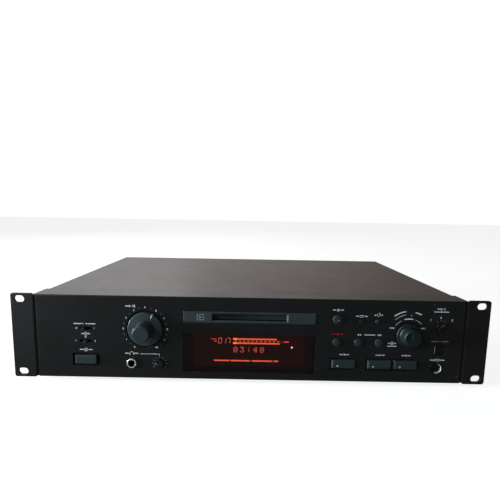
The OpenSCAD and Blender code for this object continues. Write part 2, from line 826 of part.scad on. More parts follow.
module knob_holes() {
    front_at(level_x, level_z) {
        translate([0, 0, -level_recess]) cylinder(r = level_recess_r, h = through, $fn = 96);
        translate([0, 0, -face_t - 1]) cylinder(r = neck_r + running, h = through);
    }
    front_at(jog_x, jog_z) {
        translate([0, 0, -level_recess]) cylinder(r = jog_skirt_r + 0.8, h = through, $fn = 96);
        translate([0, 0, -face_t - 1]) cylinder(r = jog_shaft_r + running, h = through);
    }
    for (place = [[phones_level_x, phones_z], [selector_x, selector_z]])
        front_at(place[0], place[1])
            translate([0, 0, -face_t - 1]) cylinder(r = small_knob_r + running, h = through);
}

module jack_holes() {
    front_at(phones_x, phones_z) translate([0, 0, -face_t - 1])
        cylinder(r = phones_neck_r + near, h = through);
    front_at(keyboard_x, keyboard_z) translate([0, 0, -face_t - 1])
        cylinder(r = keyboard_r + near, h = through);
    front_at(optical_x, optical_z) translate([0, 0, -face_t - 1])
        block(optical_w + 2 * near, optical_h + 2 * near, through);
}

// A rack ear: a front plate, a round bend and a flange along the side of the fascia
module rack_ear(side) {
    root = fascia_w / 2;
    plate_w = rack_w / 2 - root - ear_bend_r;
    flange_top = rack_h - ear_flange_in;
    mirror([side < 0 ? 1 : 0, 0, 0]) difference() {
        union() {
            front_at(0, 0) translate([0, 0, -ear_t]) linear_extrude(ear_t) {
                translate([root + ear_bend_r, 0]) square([plate_w - ear_corner_r, rack_h]);
                translate([root + ear_bend_r, ear_corner_r]) square([plate_w, rack_h - 2 * ear_corner_r]);
                for (z = [ear_corner_r, rack_h - ear_corner_r])
                    translate([rack_w / 2 - ear_corner_r, z]) circle(r = ear_corner_r);
            }
            span([root, ear_bend_r, ear_flange_in], [root + ear_t, fascia_d, flange_top]);
            intersection() {
                difference() {
                    translate([root + ear_bend_r, ear_bend_r, 0]) cylinder(r = ear_bend_r, h = rack_h);
                    translate([root + ear_bend_r, ear_bend_r, -1])
                        cylinder(r = ear_bend_r - ear_t, h = rack_h + 2);
                }
                span([root, 0, ear_flange_in], [root + ear_bend_r, ear_bend_r, flange_top]);
            }
        }
        for (i = [-1, 1]) translate([slot_span_x / 2, ear_t + 1, rack_h / 2 + i * slot_span_z / 2])
            rotate([90, 0, 0]) long_hole(ear_slot_len, ear_slot_w, ear_t + 2);
        at_ear_screws(1) screw_hole(hole_r);
    }
}

module rack_ear_left() color("#222426") on_feet() rack_ear(-1);

module rack_ear_right() color("#222426") on_feet() rack_ear(1);

module feet() {
    color("#17181a") on_feet() for (place = foot_places)
        translate([place[0], place[1], -foot_h]) difference() {
            rotate_extrude() polygon([[0, 0], [foot_r - 2.5, 0], [foot_r - 1.5, 1],
                                      [foot_r, foot_h - 1.5], [foot_r, foot_h], [0, foot_h]]);
            translate([0, 0, -1]) cylinder(r = screw_head_r + 0.7, h = foot_sink + 1);
            cylinder(r = hole_r, h = through);
        }
}

// ---------------------------------------------------------------- slot and display

module slot_bezel() {
    color("#34393c") on_feet() difference() {
        union() {
            front_at(centre_x, bezel_z) translate([0, 0, -bezel_seat])
                bevel_block(bezel_w, bezel_h, bezel_seat + bezel_proud, 0.3);
            for (side = [-1, 1]) translate([mid_x + side * (bezel_lug_in + bezel_lug_t / 2), 0, 0])
                span([-bezel_lug_t / 2, bezel_seat - eps, bezel_hole_low + running],
                     [bezel_lug_t / 2, flap_y + 3, bezel_hole_top - 0.05]);
        }
        front_at(centre_x, bezel_z) {
            translate([0, 0, -bezel_seat - 1]) block(slot_w, slot_h, through);
            translate([0, 0, bezel_proud - slot_flare]) flare_block(slot_w, slot_h, slot_flare + eps);
        }
        translate([mid_x, flap_y, flap_z]) rotate([0, 90, 0])
            cylinder(r = flap_pin_r + spindle_clear, h = bezel_hole_w + 2, center = true);
    }
}

module slot_flap() {
    flap_half = bezel_lug_in - running;
    color("#26292b") on_feet() translate([mid_x, flap_y, flap_z]) {
        span([-flap_half, -flap_t / 2, flap_low_z - flap_z], [flap_half, flap_t / 2, 0]);
        rotate([0, 90, 0]) cylinder(r = flap_knuckle_r, h = 2 * flap_half, center = true);
        rotate([0, 90, 0])
            cylinder(r = flap_pin_r, h = 2 * (bezel_lug_in + bezel_lug_t - near), center = true);
    }
}

module display_window() {
    color([0.22, 0.08, 0.1, 0.85]) on_feet() front_at(centre_x, window_z) {
        translate([0, 0, -face_t - eps])
            block(window_w - 2 * near, window_h - 2 * near, face_t - window_sink + eps);
        translate([0, 0, -face_t - window_flange_t])
            block(window_w + 2 * window_rim, window_h + 2 * window_rim, window_flange_t);
    }
}

module display_tube() {
    color("#20242a") on_feet() front_at(centre_x, window_z) translate([0, 0, -board_y]) {
        block(tube_w, tube_h, tube_t - 1);
        bevel_block(tube_w - 6, tube_h - 5, tube_t, 0.5);
    }
}

// ---------------------------------------------------------------- boards behind the fascia

module front_boards() {
    color("#1f5a3a") on_feet() difference() {
        for (edges = [left_board, centre_board, right_board])
            span([edges[0], board_y, board_z], [edges[1], board_y + board_t, edges[2]]);
        front_at(phones_x, phones_z) translate([0, 0, -board_y - board_t - 1])
            block(phones_body_w + 1, phones_body_w + 1, board_t + 2);
    }
}

module key_switches() {
    places = concat([for (key = round_keys) [key[0], key[1]]], [for (x = bar_keys) [x, bar_row_z]]);
    color("#3c3f42") on_feet() for (place = places) front_at(place[0], place[1])
        translate([0, 0, -board_y]) {
            block(6, 6, tact_body_h);
            cylinder(r = 1.7, h = tact_h);
        }
}

// ---------------------------------------------------------------- keys

module key_stem() {
    translate([0, 0, -key_stem_y]) cylinder(r = key_stem_r, h = key_stem_y - key_flange_y);
}

module round_key(x, z, r) {
    front_at(x, z) {
        intersection() {
            translate([0, 0, -key_flange_y - eps]) cylinder(r = r, h = key_flange_y + key_proud + eps);
            translate([0, 0, key_proud - key_dome_r]) sphere(r = key_dome_r, $fn = 96);
        }
        translate([0, 0, -key_flange_y - key_flange_t]) cylinder(r = r + key_flange_w, h = key_flange_t);
        key_stem();
    }
}

module bar_key(x) {
    front_at(x, bar_row_z) {
        translate([0, 0, -key_flange_y - eps])
            bevel_block(bar_w, bar_h, key_flange_y + key_proud + eps, bar_bevel);
        translate([0, 0, -key_flange_y - key_flange_t])
            block(bar_w + 2 * key_flange_w, bar_h + 2 * key_flange_w, key_flange_t);
        key_stem();
    }
}

module eject_button() color("#5c6164") on_feet() round_key(key_col_1, eject_z, eject_r);

module record_button() color("#5c6164") on_feet() round_key(key_col_1, round_row_z, round_key_r);

module display_button() color("#5c6164") on_feet() round_key(display_x, small_row_z, small_key_r);

module play_mode_button() color("#5c6164") on_feet() round_key(play_mode_x, small_row_z, small_key_r);

module search_back_button() color("#5c6164") on_feet() round_key(search_back_x, round_row_z, round_key_r);

module search_forward_button() {
    color("#5c6164") on_feet() round_key(search_forward_x, round_row_z, round_key_r);
}

module stop_button() color("#4a4f52") on_feet() bar_key(stop_x);

module play_button() color("#4a4f52") on_feet() bar_key(play_x);

module ready_button() color("#4a4f52") on_feet() bar_key(ready_x);

// ---------------------------------------------------------------- power and slide switches

module power_button() {
    color("#4a4f52") on_feet() front_at(power_x, power_z) {
        translate([0, 0, -key_flange_y - eps])
            bevel_block(power_w, power_h, key_flange_y + power_proud + eps, 0.5);
        translate([0, 0, -key_flange_y - key_flange_t])
            block(power_w + 2 * key_flange_w, power_h + 2 * key_flange_w, key_flange_t);
        translate([0, 0, -power_stem_end]) block(power_stem, power_stem, power_stem_end - key_flange_y);
    }
}

module power_switch() {
    color("#2f3133") on_feet() front_at(power_x, power_z) difference() {
        translate([0, 0, -board_y]) block(18, 13, board_y - power_switch_y);
        translate([0, 0, 0.5 - board_y])
            block(power_stem + 2 * running, power_stem + 2 * running, through);
    }
}

module slide_lever(x, z) {
    front_at(x, z) {
        translate([0, 0, -slide_body_y + running])
            bevel_block(lever_w, lever_h, slide_body_y - running + lever_proud, 0.3);
        translate([0, 0, -slide_blade_end])
            block(slide_blade_w, slide_blade_h, slide_blade_end - slide_body_y + 1);
    }
}

module pitch_lever() color("#7c8285") on_feet() slide_lever(slide_x - slide_step / 2, pitch_z);

module timer_lever() color("#7c8285") on_feet() slide_lever(slide_x, timer_z);

module slide_switches() {
    blade_room = slide_blade_w + 2 * slide_step + 2 * running;
    color("#8a8f92") on_feet() for (z = [pitch_z, timer_z]) front_at(slide_x, z) difference() {
        translate([0, 0, -board_y]) block(blade_room + 4, 6, board_y - slide_body_y);
        translate([0, 0, -board_y + 1]) block(blade_room, slide_blade_h + 2 * near, through);
    }
}

// ---------------------------------------------------------------- level knobs

// A straight groove for a painted pointer, from one radius to another, turned from upright
module pointer_groove(turn, from, to, w, depth) {
    rotate([0, 0, -turn]) translate([-w / 2, from, -depth]) cube([w, to - from, depth + 1]);
}

module outer_level_knob() {
    spindle_end = board_y - pot_floor - 5;
    color("#3a3e40") on_feet() front_at(level_x, level_z) difference() {
        union() {
            rotate_extrude($fn = 120) polygon([
                [0, knob_gap - level_recess], [outer_knob_r, knob_gap - level_recess],
                [outer_knob_r, outer_knob_proud - 1.2], [outer_knob_r - 0.5, outer_knob_proud - 0.7],
                [inner_root_r + 0.6, outer_knob_proud], [0, outer_knob_proud]]);
            translate([0, 0, -spindle_end]) cylinder(r = outer_spindle_r, h = spindle_end);
        }
        translate([0, 0, -spindle_end - 1]) cylinder(r = inner_spindle_r + spindle_clear, h = through);
        translate([0, 0, outer_knob_proud - 0.35])
            pointer_groove(outer_pointer, outer_knob_r * 0.66, outer_knob_r * 0.9, pointer_w, pointer_d);
    }
}

module inner_level_knob() {
    root = outer_knob_proud + knob_gap;
    spindle_end = board_y - pot_floor - 1;
    color("#3a3e40") on_feet() front_at(level_x, level_z) difference() {
        union() {
            rotate_extrude($fn = 96) polygon([
                [0, root], [inner_root_r, root], [inner_root_r - 0.7, root + 2.5],
                [inner_face_r + 0.1, inner_knob_proud - 0.7], [inner_face_r - 0.6, inner_knob_proud],
                [0, inner_knob_proud]]);
            translate([0, 0, -spindle_end]) cylinder(r = inner_spindle_r, h = spindle_end + root + eps);
        }
        translate([0, 0, inner_knob_proud])
            pointer_groove(inner_pointer, inner_face_r - 1.6, inner_face_r + 2, pointer_w, pointer_d);
        rotate([0, 0, -inner_pointer]) translate([-pointer_w / 2, inner_face_r - 0.1, inner_knob_proud - 9])
            cube([pointer_w, 3, 12]);
    }
}

module level_pot() {
    color("#77797a") on_feet() front_at(level_x, level_z) difference() {
        union() {
            translate([0, 0, -board_y]) block(level_pot_w, level_pot_w, board_y - pot_y);
            translate([0, 0, -pot_y - eps]) cylinder(r = neck_r, h = pot_y - level_recess - running);
        }
        translate([0, 0, pot_floor - board_y]) cylinder(r = outer_spindle_r + spindle_clear, h = through);
    }
}

// ---------------------------------------------------------------- small knobs

module small_knob(x, z, turn) {
    stem_end = board_y - 2;
    front_at(x, z) difference() {
        union() {
            translate([0, 0, -face_t]) rotate_extrude() polygon([
                [0, 0], [small_knob_r, 0], [small_knob_r, face_t + small_knob_proud - 0.5],
                [small_knob_r - 0.5, face_t + small_knob_proud], [0, face_t + small_knob_proud]]);
            translate([0, 0, -stem_end]) cylinder(r = small_stem_r, h = stem_end);
        }
        for (side = [-1, 1]) rotate([0, 0, -turn])
            translate([side * small_knob_r * 0.62, 0, small_knob_proud - 1.1])
                block(small_knob_r * 0.62, 3 * small_knob_r, 3);
        translate([0, 0, small_knob_proud])
            pointer_groove(turn, small_knob_r * 0.3, small_knob_r + 1, pointer_w * 0.8, pointer_d);
    }
}

module small_pot(x, z) {
    front_at(x, z) difference() {
        translate([0, 0, -board_y]) block(small_pot_w, small_pot_w, board_y - small_pot_y);
        translate([0, 0, 1 - board_y]) cylinder(r = small_stem_r + spindle_clear, h = through);
    }
}

module phones_knob() color("#232627") on_feet() small_knob(phones_level_x, phones_z, phones_pointer);

module selector_knob() color("#34383a") on_feet() small_knob(selector_x, selector_z, selector_pointer);

module small_controls() color("#4b4e50") on_feet() {
    small_pot(phones_level_x, phones_z);
    small_pot(selector_x, selector_z);
}

// ---------------------------------------------------------------- jacks on the front

module phones_jack() {
    color("#303234") on_feet() front_at(phones_x, phones_z) difference() {
        union() {
            translate([0, 0, -phones_body_end])
                block(phones_body_w, phones_body_w, phones_body_end - face_t);
            translate([0, 0, -face_t - eps])
                cylinder(r = phones_neck_r, h = face_t + phones_nut_t - 0.2 + eps);
        }
        translate([0, 0, 1 - phones_body_end]) cylinder(r = phones_bore_r, h = through + phones_body_end);
    }
}

module phones_nut() {
    color("#d4d6d8") on_feet() front_at(phones_x, phones_z) difference() {
        rotate_extrude() polygon([[0, 0], [phones_nut_r, 0], [phones_nut_r, phones_nut_t - 0.4],
                                  [phones_nut_r - 0.4, phones_nut_t], [0, phones_nut_t]]);
        translate([0, 0, -1]) cylinder(r = phones_neck_r + spindle_clear, h = through);
    }
}

module keyboard_jack() {
    core_r = keyboard_shell_r - 1.2;
    depth = 8;
    color("#242628") on_feet() front_at(keyboard_x, keyboard_z) difference() {
        union() {
            translate([0, 0, -board_y]) block(14, 14, board_y - face_t);
            translate([0, 0, -face_t - eps]) cylinder(r = keyboard_r, h = face_t + 0.2 + eps);
        }
        translate([0, 0, -depth]) difference() {
            cylinder(r = keyboard_shell_r, h = through);
            translate([0, 0, -1]) cylinder(r = core_r, h = depth);
        }
        for (i = [0 : 5]) rotate([0, 0, 30 + 60 * i]) translate([2.4, 0, -depth])
            cylinder(r = 0.5, h = through);
    }
}

// An optical jack that looks along +Z with its face at Z = 0
module optical_jack() {
    difference() {
        translate([0, 0, -optical_len]) block(optical_w, optical_h, optical_len);
        translate([0, 0, -5]) block(optical_w - 3.2, optical_h - 1.8, through);
    }
}

module optical_jacks() {
    color("#1a1b1d") on_feet() {
        front_at(optical_x, optical_z) translate([0, 0, -0.4]) optical_jack();
        for (x = rear_optical_xs) rear_at(x, rear_optical_z) optical_jack();
    }
}

// ---------------------------------------------------------------- jog knob

module jog_knob() {
    ball_z = jog_proud - jog_dimple_d + jog_dimple_r;
    root = level_recess - jog_travel - 0.2;
    bore_end = jog_proud - 4;
    color("#4d5255") on_feet() front_at(jog_x, jog_z) difference() {
        rotate_extrude($fn = 96) polygon([
            [0, -root], [jog_skirt_r, -root], [jog_skirt_r, jog_skirt_proud - 0.6],
            [jog_skirt_r - 0.6, jog_skirt_proud], [jog_root_r + 0.8, jog_skirt_proud],
            [jog_root_r, jog_skirt_proud + 0.9], [jog_face_r + 0.1, jog_proud - 0.8],
            [jog_face_r - 0.7, jog_proud], [0, jog_proud]]);
        rotate([0, 0, -jog_dimple_turn]) translate([0, jog_dimple_off, ball_z])
            sphere(r = jog_dimple_r, $fn = 96);
        translate([0, 0, -root - 1]) cylinder(r = jog_shaft_r + spindle_clear, h = root + 1 + bore_end);
    }
}

module jog_shaft() {
    inner_end = board_y - jog_travel - 1.2;
    color("#b9bcbe") on_feet() front_at(jog_x, jog_z)
        translate([0, 0, -inner_end]) cylinder(r = jog_shaft_r, h = inner_end + jog_proud - 4.2);
}

module jog_encoder() {
    color("#55585a") on_feet() front_at(jog_x, jog_z) difference() {
        translate([0, 0, -board_y]) block(jog_body_w, jog_body_w, board_y - jog_body_y);
        translate([0, 0, 1 - board_y]) cylinder(r = jog_shaft_r + spindle_clear, h = through);
    }
}

// ---------------------------------------------------------------- boards and supply on the pan

module on_board(item) translate([spread * item[0], case_d - item[1], low_board_top - eps]) children();

module filled_board(edges, blocks, rounds) {
    span([edges[0], edges[2], low_board_z], [edges[1], edges[3], low_board_top]);
    for (item = blocks) on_board(item) block(item[2], item[3], item[4] + eps);
    for (item = rounds) on_board(item) cylinder(r = item[2], h = item[3] + eps);
}

module main_board() color("#23613c") on_feet() filled_board(main_edges, main_blocks, main_rounds);

module power_board() color("#8a6a35") on_feet() filled_board(power_edges, power_blocks, power_rounds);

module transformer() {
    core = [66, 34, 56];
    coil = [42, 54, 38];
    lug = [12, 18, 2];
    lug_x = (core[0] + lug[0]) / 2;
    side_room = 17.3;
    place = [side_room + core[0] / 2 - inside_w / 2, 130];
    color("#6d6a66") on_feet() translate([place[0], place[1], sheet_t]) difference() {
        union() {
            block(core[0], core[1], core[2]);
            translate([0, 0, (core[2] - coil[2]) / 2]) block(coil[0], coil[1], coil[2]);
            for (side = [-1, 1]) translate([side * (lug_x - 1), 0, 0]) block(lug[0], lug[1], lug[2]);
        }
        for (side = [-1, 1]) translate([side * lug_x, 0, -1]) cylinder(r = 2, h = lug[2] + 2);
    }
}

module heat_sink() {
    fins = 7;
    fin_step = 6;
    fin = [1.5, 12, 34];
    rear_room = 54;
    x = -130;
    color("#a9adb0") on_feet() translate([spread * x, case_d - rear_room, low_board_top]) {
        block(fin_step * (fins - 1) + fin[0], 3, fin[2]);
        for (i = [0 : fins - 1]) translate([(i - (fins - 1) / 2) * fin_step, 5, 0])
            block(fin[0], fin[1], fin[2]);
    }
}

// ---------------------------------------------------------------- rear connectors

module phono_jacks() {
    body_d = 12;
    body_top = phono_zs[1] + 7;
    color("#c9a23a") on_feet() for (x = phono_xs) difference() {
        union() {
            span([spread * x - 6, panel_y - body_d, low_board_top],
                 [spread * x + 6, panel_y, body_top]);
            for (z = phono_zs) rear_at(x, z) {
                translate([0, 0, -sheet_t - eps])
                    cylinder(r = phono_neck_r, h = sheet_t + phono_foot + 2 * eps);
                translate([0, 0, phono_foot]) cylinder(r = phono_r, h = phono_proud - phono_foot);
            }
        }
        for (z = phono_zs) rear_at(x, z) translate([0, 0, phono_proud - 9])
            cylinder(r = phono_bore_r, h = through);
    }
}

module xlr_shell() {
    translate([0, 0, -xlr_body_len]) cylinder(r = xlr_r, h = xlr_body_len + eps);
    bevel_block(26, 31, flange_t, 0.5);
}

// A microphone jack with three pin holes, or with three pins in a round recess
module xlr_jack(has_pins) {
    pins = [for (turn = [30, 150, 270]) 3.8 * [cos(turn), sin(turn)]];
    difference() {
        xlr_shell();
        if (has_pins) translate([0, 0, flange_t - xlr_floor]) cylinder(r = 9, h = through);
        else for (pin = pins) translate([pin[0], pin[1], -8]) cylinder(r = 1.3, h = through);
        for (side = [-1, 1]) translate([side * 9.5, side * 12, -1]) cylinder(r = 1.6, h = through);
    }
    if (has_pins) for (pin = pins)
        translate([pin[0], pin[1], flange_t - xlr_floor - eps]) cylinder(r = xlr_pin_r, h = xlr_pin_len);
}

module at_xlr(places) for (i = places) rear_at(xlr_x + i * xlr_step, xlr_z) children();

module xlr_inputs() color("#b4b7b9") on_feet() at_xlr([0, 1]) xlr_jack(false);

module xlr_outputs() color("#b4b7b9") on_feet() at_xlr([2, 3]) xlr_jack(true);

module mains_inlet() {
    color("#1c1d1f") on_feet() rear_at(inlet_x, inlet_z) {
        difference() {
            union() {
                translate([0, 0, -inlet_body_len]) block(inlet_body_w, inlet_body_h, inlet_body_len + eps);
                bevel_block(inlet_body_w + 4, inlet_body_h + 4, flange_t, 0.5);
            }
            translate([0, 0, flange_t - inlet_floor]) block(inlet_w, inlet_h, through);
        }
        for (x = [-7, 0, 7]) translate([x, x == 0 ? -2.5 : 2.5, flange_t - inlet_floor - eps])
            block(2, 4, inlet_blade_len);
    }
}

// ---------------------------------------------------------------- minidisc mechanism

module in_mech() on_feet() translate([mid_x, 0, 0]) children();

module mech_frame() {
    color("#9aa0a3") in_mech() difference() {
        union() {
            span([-wall_x - mech_t, mech_front, mech_deck_z], [wall_x + mech_t, mech_back, deck_top]);
            for (side = [-1, 1])
                translate([side * (wall_x + mech_t / 2), (mech_front + mech_wall_end) / 2, mech_deck_z])
                    block(mech_t, mech_wall_end - mech_front, mech_top - mech_deck_z);
            for (x = [-42, 42], y = [mech_front + 5, mech_back - 5]) translate([x, y, sheet_t])
                cylinder(r = 3.5, h = mech_deck_z - sheet_t + eps);
            for (x = [-rod_x, rod_x], y = [rod_front, mech_back - rod_post])
                span([x - 3, y, deck_top - eps], [x + 3, y + rod_post, rod_z + 3]);
            for (y = [rod_front, mech_back - rod_post])
                span([lead_x - 3, y, deck_top - eps], [lead_x + 3, y + rod_post, rod_z + 3]);
            for (y = guide_ys) translate([-cam_x - cam_t - 0.8, y, guide_z]) rotate([0, 90, 0])
                cylinder(r = mech_pin_r, h = cam_t + 0.8 + running + eps);
        }
        for (y = pin_ys) translate([0, y, 0]) frame_pin_slot();
        for (x = [-rod_x, rod_x]) translate([x, rod_front - 1, rod_z]) rotate([-90, 0, 0])
            cylinder(r = rod_r + spindle_clear, h = mech_back - rod_front + 2);
        translate([lead_x, rod_front - 1, rod_z]) rotate([-90, 0, 0])
            cylinder(r = lead_r + spindle_clear, h = mech_back - rod_front + 2);
        span([-12, sled_front + 3, mech_deck_z - 1], [12, mech_back - 5, deck_top + 1]);
    }
}

// The upright slot in both walls of the frame that guides one pair of holder pins
module frame_pin_slot() {
    for (z = [pin_z - holder_drop, pin_z]) translate([0, 0, z]) rotate([0, 90, 0])
        cylinder(r = pin_slot_w / 2, h = 2 * wall_x + 10, center = true);
    span([-wall_x - 5, -pin_slot_w / 2, pin_z - holder_drop], [wall_x + 5, pin_slot_w / 2, pin_z]);
}

module disc_holder() {
    color("#b3b8ba") in_mech() {
        difference() {
            span([-holder_out, holder_front, holder_low], [holder_out, holder_back, holder_high]);
            span([-holder_in_w / 2, holder_front - 1, holder_low + holder_t],
                 [holder_in_w / 2, holder_back + 1, holder_high - holder_t]);
            span([holder_lip - holder_in_w / 2, holder_front - 1, holder_low - 1],
                 [holder_in_w / 2 - holder_lip, holder_back + 1, holder_low + holder_t + 1]);
            span([-8, disc_y + 8, holder_high - holder_t - 1], [8, holder_back + 1, holder_high + 1]);
        }
        for (y = pin_ys) {
            translate([-cam_x - cam_t - 0.6, y, pin_z]) rotate([0, 90, 0])
                cylinder(r = mech_pin_r, h = cam_x + cam_t + 0.6 - holder_out + eps);
            translate([holder_out - eps, y, pin_z]) rotate([0, 90, 0])
                cylinder(r = mech_pin_r, h = wall_x + mech_t + 0.5 - holder_out + eps);
        }
    }
}

module cam_slide() {
    slope = atan2(holder_drop, cam_travel);
    ramp = norm([cam_travel, holder_drop]);
    front = guide_ys[0] - 26;
    color("#d8d4c8") in_mech() difference() {
        union() {
            span([-cam_x - cam_t, front, rack_z + tooth_ded - 0.1], [-cam_x, pin_ys[1] + 4, cam_top]);
            for (i = [-5 : 0]) translate([-cam_x - cam_t, gear_y + (i + 0.5) * PI * gear_module, rack_z])
                rotate([90, 0, 90]) linear_extrude(cam_t) rack_tooth();
        }
        for (y = pin_ys) translate([-cam_x - cam_t - 1, y, pin_z]) rotate([90, 0, 90]) {
            cylinder(r = pin_slot_w / 2, h = cam_t + 2);
            translate([-cam_travel, -holder_drop, 0]) cylinder(r = pin_slot_w / 2, h = cam_t + 2);
            rotate([0, 0, slope]) translate([-ramp, -pin_slot_w / 2, 0])
                cube([ramp, pin_slot_w, cam_t + 2]);
        }
        for (y = guide_ys) translate([-cam_x - cam_t - 1, y, guide_z]) rotate([90, 0, 90])
            translate([-cam_travel / 2, 0, 0])
                long_hole(cam_travel + guide_slot_w, guide_slot_w, cam_t + 2);
    }
}

// One tooth of the cam's rack, pointing down from its root
module rack_tooth() {
    polygon([[-0.95 * gear_module, tooth_ded], [0.95 * gear_module, tooth_ded],
             [0.3 * gear_module, -tooth_add], [-0.3 * gear_module, -tooth_add]]);
}

module loading_gear() {
    root_r = pitch_r - tooth_ded;
    color("#e2e0d8") in_mech() translate([-cam_x - cam_t, gear_y, gear_z]) rotate([90, 0, 90])
        linear_extrude(cam_t) difference() {
            union() {
                circle(r = root_r);
                for (i = [0 : gear_teeth - 1]) rotate([0, 0, 90 + i * 360 / gear_teeth])
                    polygon([[root_r - 0.3, -0.85 * gear_module], [pitch_r + tooth_add, -0.3 * gear_module],
                             [pitch_r + tooth_add, 0.3 * gear_module], [root_r - 0.3, 0.85 * gear_module]]);
            }
            circle(r = motor_shaft_r + spindle_clear);
        }
}

// A small motor that looks along +Z: its face at Z = 0 and its shaft above
module motor(shaft) {
    translate([0, 0, -motor_len]) cylinder(r = motor_r, h = motor_len);
    translate([0, 0, -eps]) cylinder(r = 2, h = 0.5);
    cylinder(r = motor_shaft_r, h = shaft);
}

module drive_motors() {
    color("#8d8f91") in_mech() {
        translate([-cam_x + 1.2, gear_y, gear_z]) rotate([0, -90, 0]) motor(cam_t + 2.5);
        translate([lead_x, mech_back + 0.7, rod_z]) rotate([90, 0, 0]) motor(0.6);
    }
}

module guide_rods() {
    color("#d5d8da") in_mech() for (x = [-rod_x, rod_x])
        translate([x, rod_front + 0.2, rod_z]) rotate([-90, 0, 0])
            cylinder(r = rod_r, h = mech_back - rod_front - 0.4);
}

module lead_screw() {
    color("#c7a24c") in_mech() translate([lead_x, rod_front + 0.2, rod_z]) rotate([-90, 0, 0])
        cylinder(r = lead_r, h = mech_back - rod_front - 0.4);
}

module pickup_sled() {
    color("#55595c") in_mech() difference() {
        union() {
            span([-rod_x - 3, sled_front, sled_low], [rod_x + 3, sled_front + sled_len, sled_high]);
            span([rod_x, sled_front + 6, sled_low], [lead_x + 3, sled_front + 14, sled_high]);
            span([-7, sled_front, sled_low], [7, riser_y + riser_t, rod_z]);
            span([-7, riser_y, sled_low], [7, riser_y + riser_t, head_pivot_z - 2]);
            for (side = [-1, 1]) translate([side * 6, riser_y + riser_t / 2, rod_z])
                block(2, riser_t, head_pivot_z + 1.5 - rod_z);
            translate([0, sled_front + 7, sled_high - eps]) cylinder(r = 3, h = 1.6);
        }
        for (x = [-rod_x, rod_x]) translate([x, sled_front - 1, rod_z]) rotate([-90, 0, 0])
            cylinder(r = rod_r + spindle_clear, h = sled_len + 2);
        translate([lead_x, sled_front - 1, rod_z]) rotate([-90, 0, 0])
            cylinder(r = lead_r + spindle_clear, h = sled_len + 2);
        translate([0, head_pivot_y, head_pivot_z]) rotate([0, 90, 0])
            cylinder(r = head_pin_r + spindle_clear, h = 20, center = true);
    }
}

module head_arm() {
    arm_tip = sled_front + 3;
    color("#c3c7c9") in_mech() {
        translate([0, head_pivot_y, head_pivot_z]) rotate([0, 90, 0]) {
            cylinder(r = head_pin_r, h = 13.6, center = true);
            cylinder(r = 1.6, h = 9.4, center = true);
        }
        span([-3.5, arm_tip, head_pivot_z - 1], [3.5, head_pivot_y, head_pivot_z + 0.6]);
        span([-2.5, arm_tip + 1, holder_high + 0.6], [2.5, arm_tip + 7, head_pivot_z]);
    }
}

module spindle_motor() {
    color("#7f8385") in_mech() translate([0, disc_y, deck_top]) difference() {
        cylinder(r = spindle_r, h = spindle_h);
        translate([0, 0, spindle_floor]) cylinder(r = motor_shaft_r + spindle_clear, h = through);
    }
}

module turntable() {
    shaft = spindle_h - spindle_floor;
    color("#c9cdd0") in_mech() translate([0, disc_y, deck_top + spindle_h + running]) {
        rotate_extrude() polygon([[0, 0], [8, 0], [8, 1.4], [5.4, 1.4], [4, 3.2], [2, 4], [0, 4]]);
        translate([0, 0, -shaft]) cylinder(r = motor_shaft_r, h = shaft + eps);
    }
}

chassis_pan();
top_cover();
rear_panel();
fascia();
rack_ear_left();
rack_ear_right();
case_screws();
feet();
slot_bezel();
slot_flap();
display_window();
display_tube();
front_boards();
key_switches();
power_button();
power_switch();
pitch_lever();
timer_lever();
slide_switches();
outer_level_knob();
inner_level_knob();
level_pot();
phones_knob();
small_controls();
phones_jack();
phones_nut();
eject_button();
record_button();
display_button();
play_mode_button();
search_back_button();
search_forward_button();
stop_button();
play_button();
ready_button();
jog_knob();
jog_shaft();
jog_encoder();
selector_knob();
keyboard_jack();
optical_jacks();
main_board();
power_board();
transformer();
heat_sink();
mains_inlet();
phono_jacks();
xlr_inputs();
xlr_outputs();
mech_frame();
disc_holder();
spindle_motor();
turntable();
pickup_sled();
guide_rods();
lead_screw();
drive_motors();
cam_slide();
loading_gear();
head_arm();
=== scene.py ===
# %% [markdown]
# # A rack-mount minidisc deck
# This file dresses a imported CAD model of a minidisc deck for a photograph. The CAD model
# already has every shell, key, knob and jack at its real size, so the first step only loads it.
# Everything made later is placed from that model, in metres, so that nothing has to be fitted
# by eye.

# %% Load the imported model
import json
import math

import bmesh
import bpy
from mathutils import Matrix, Vector


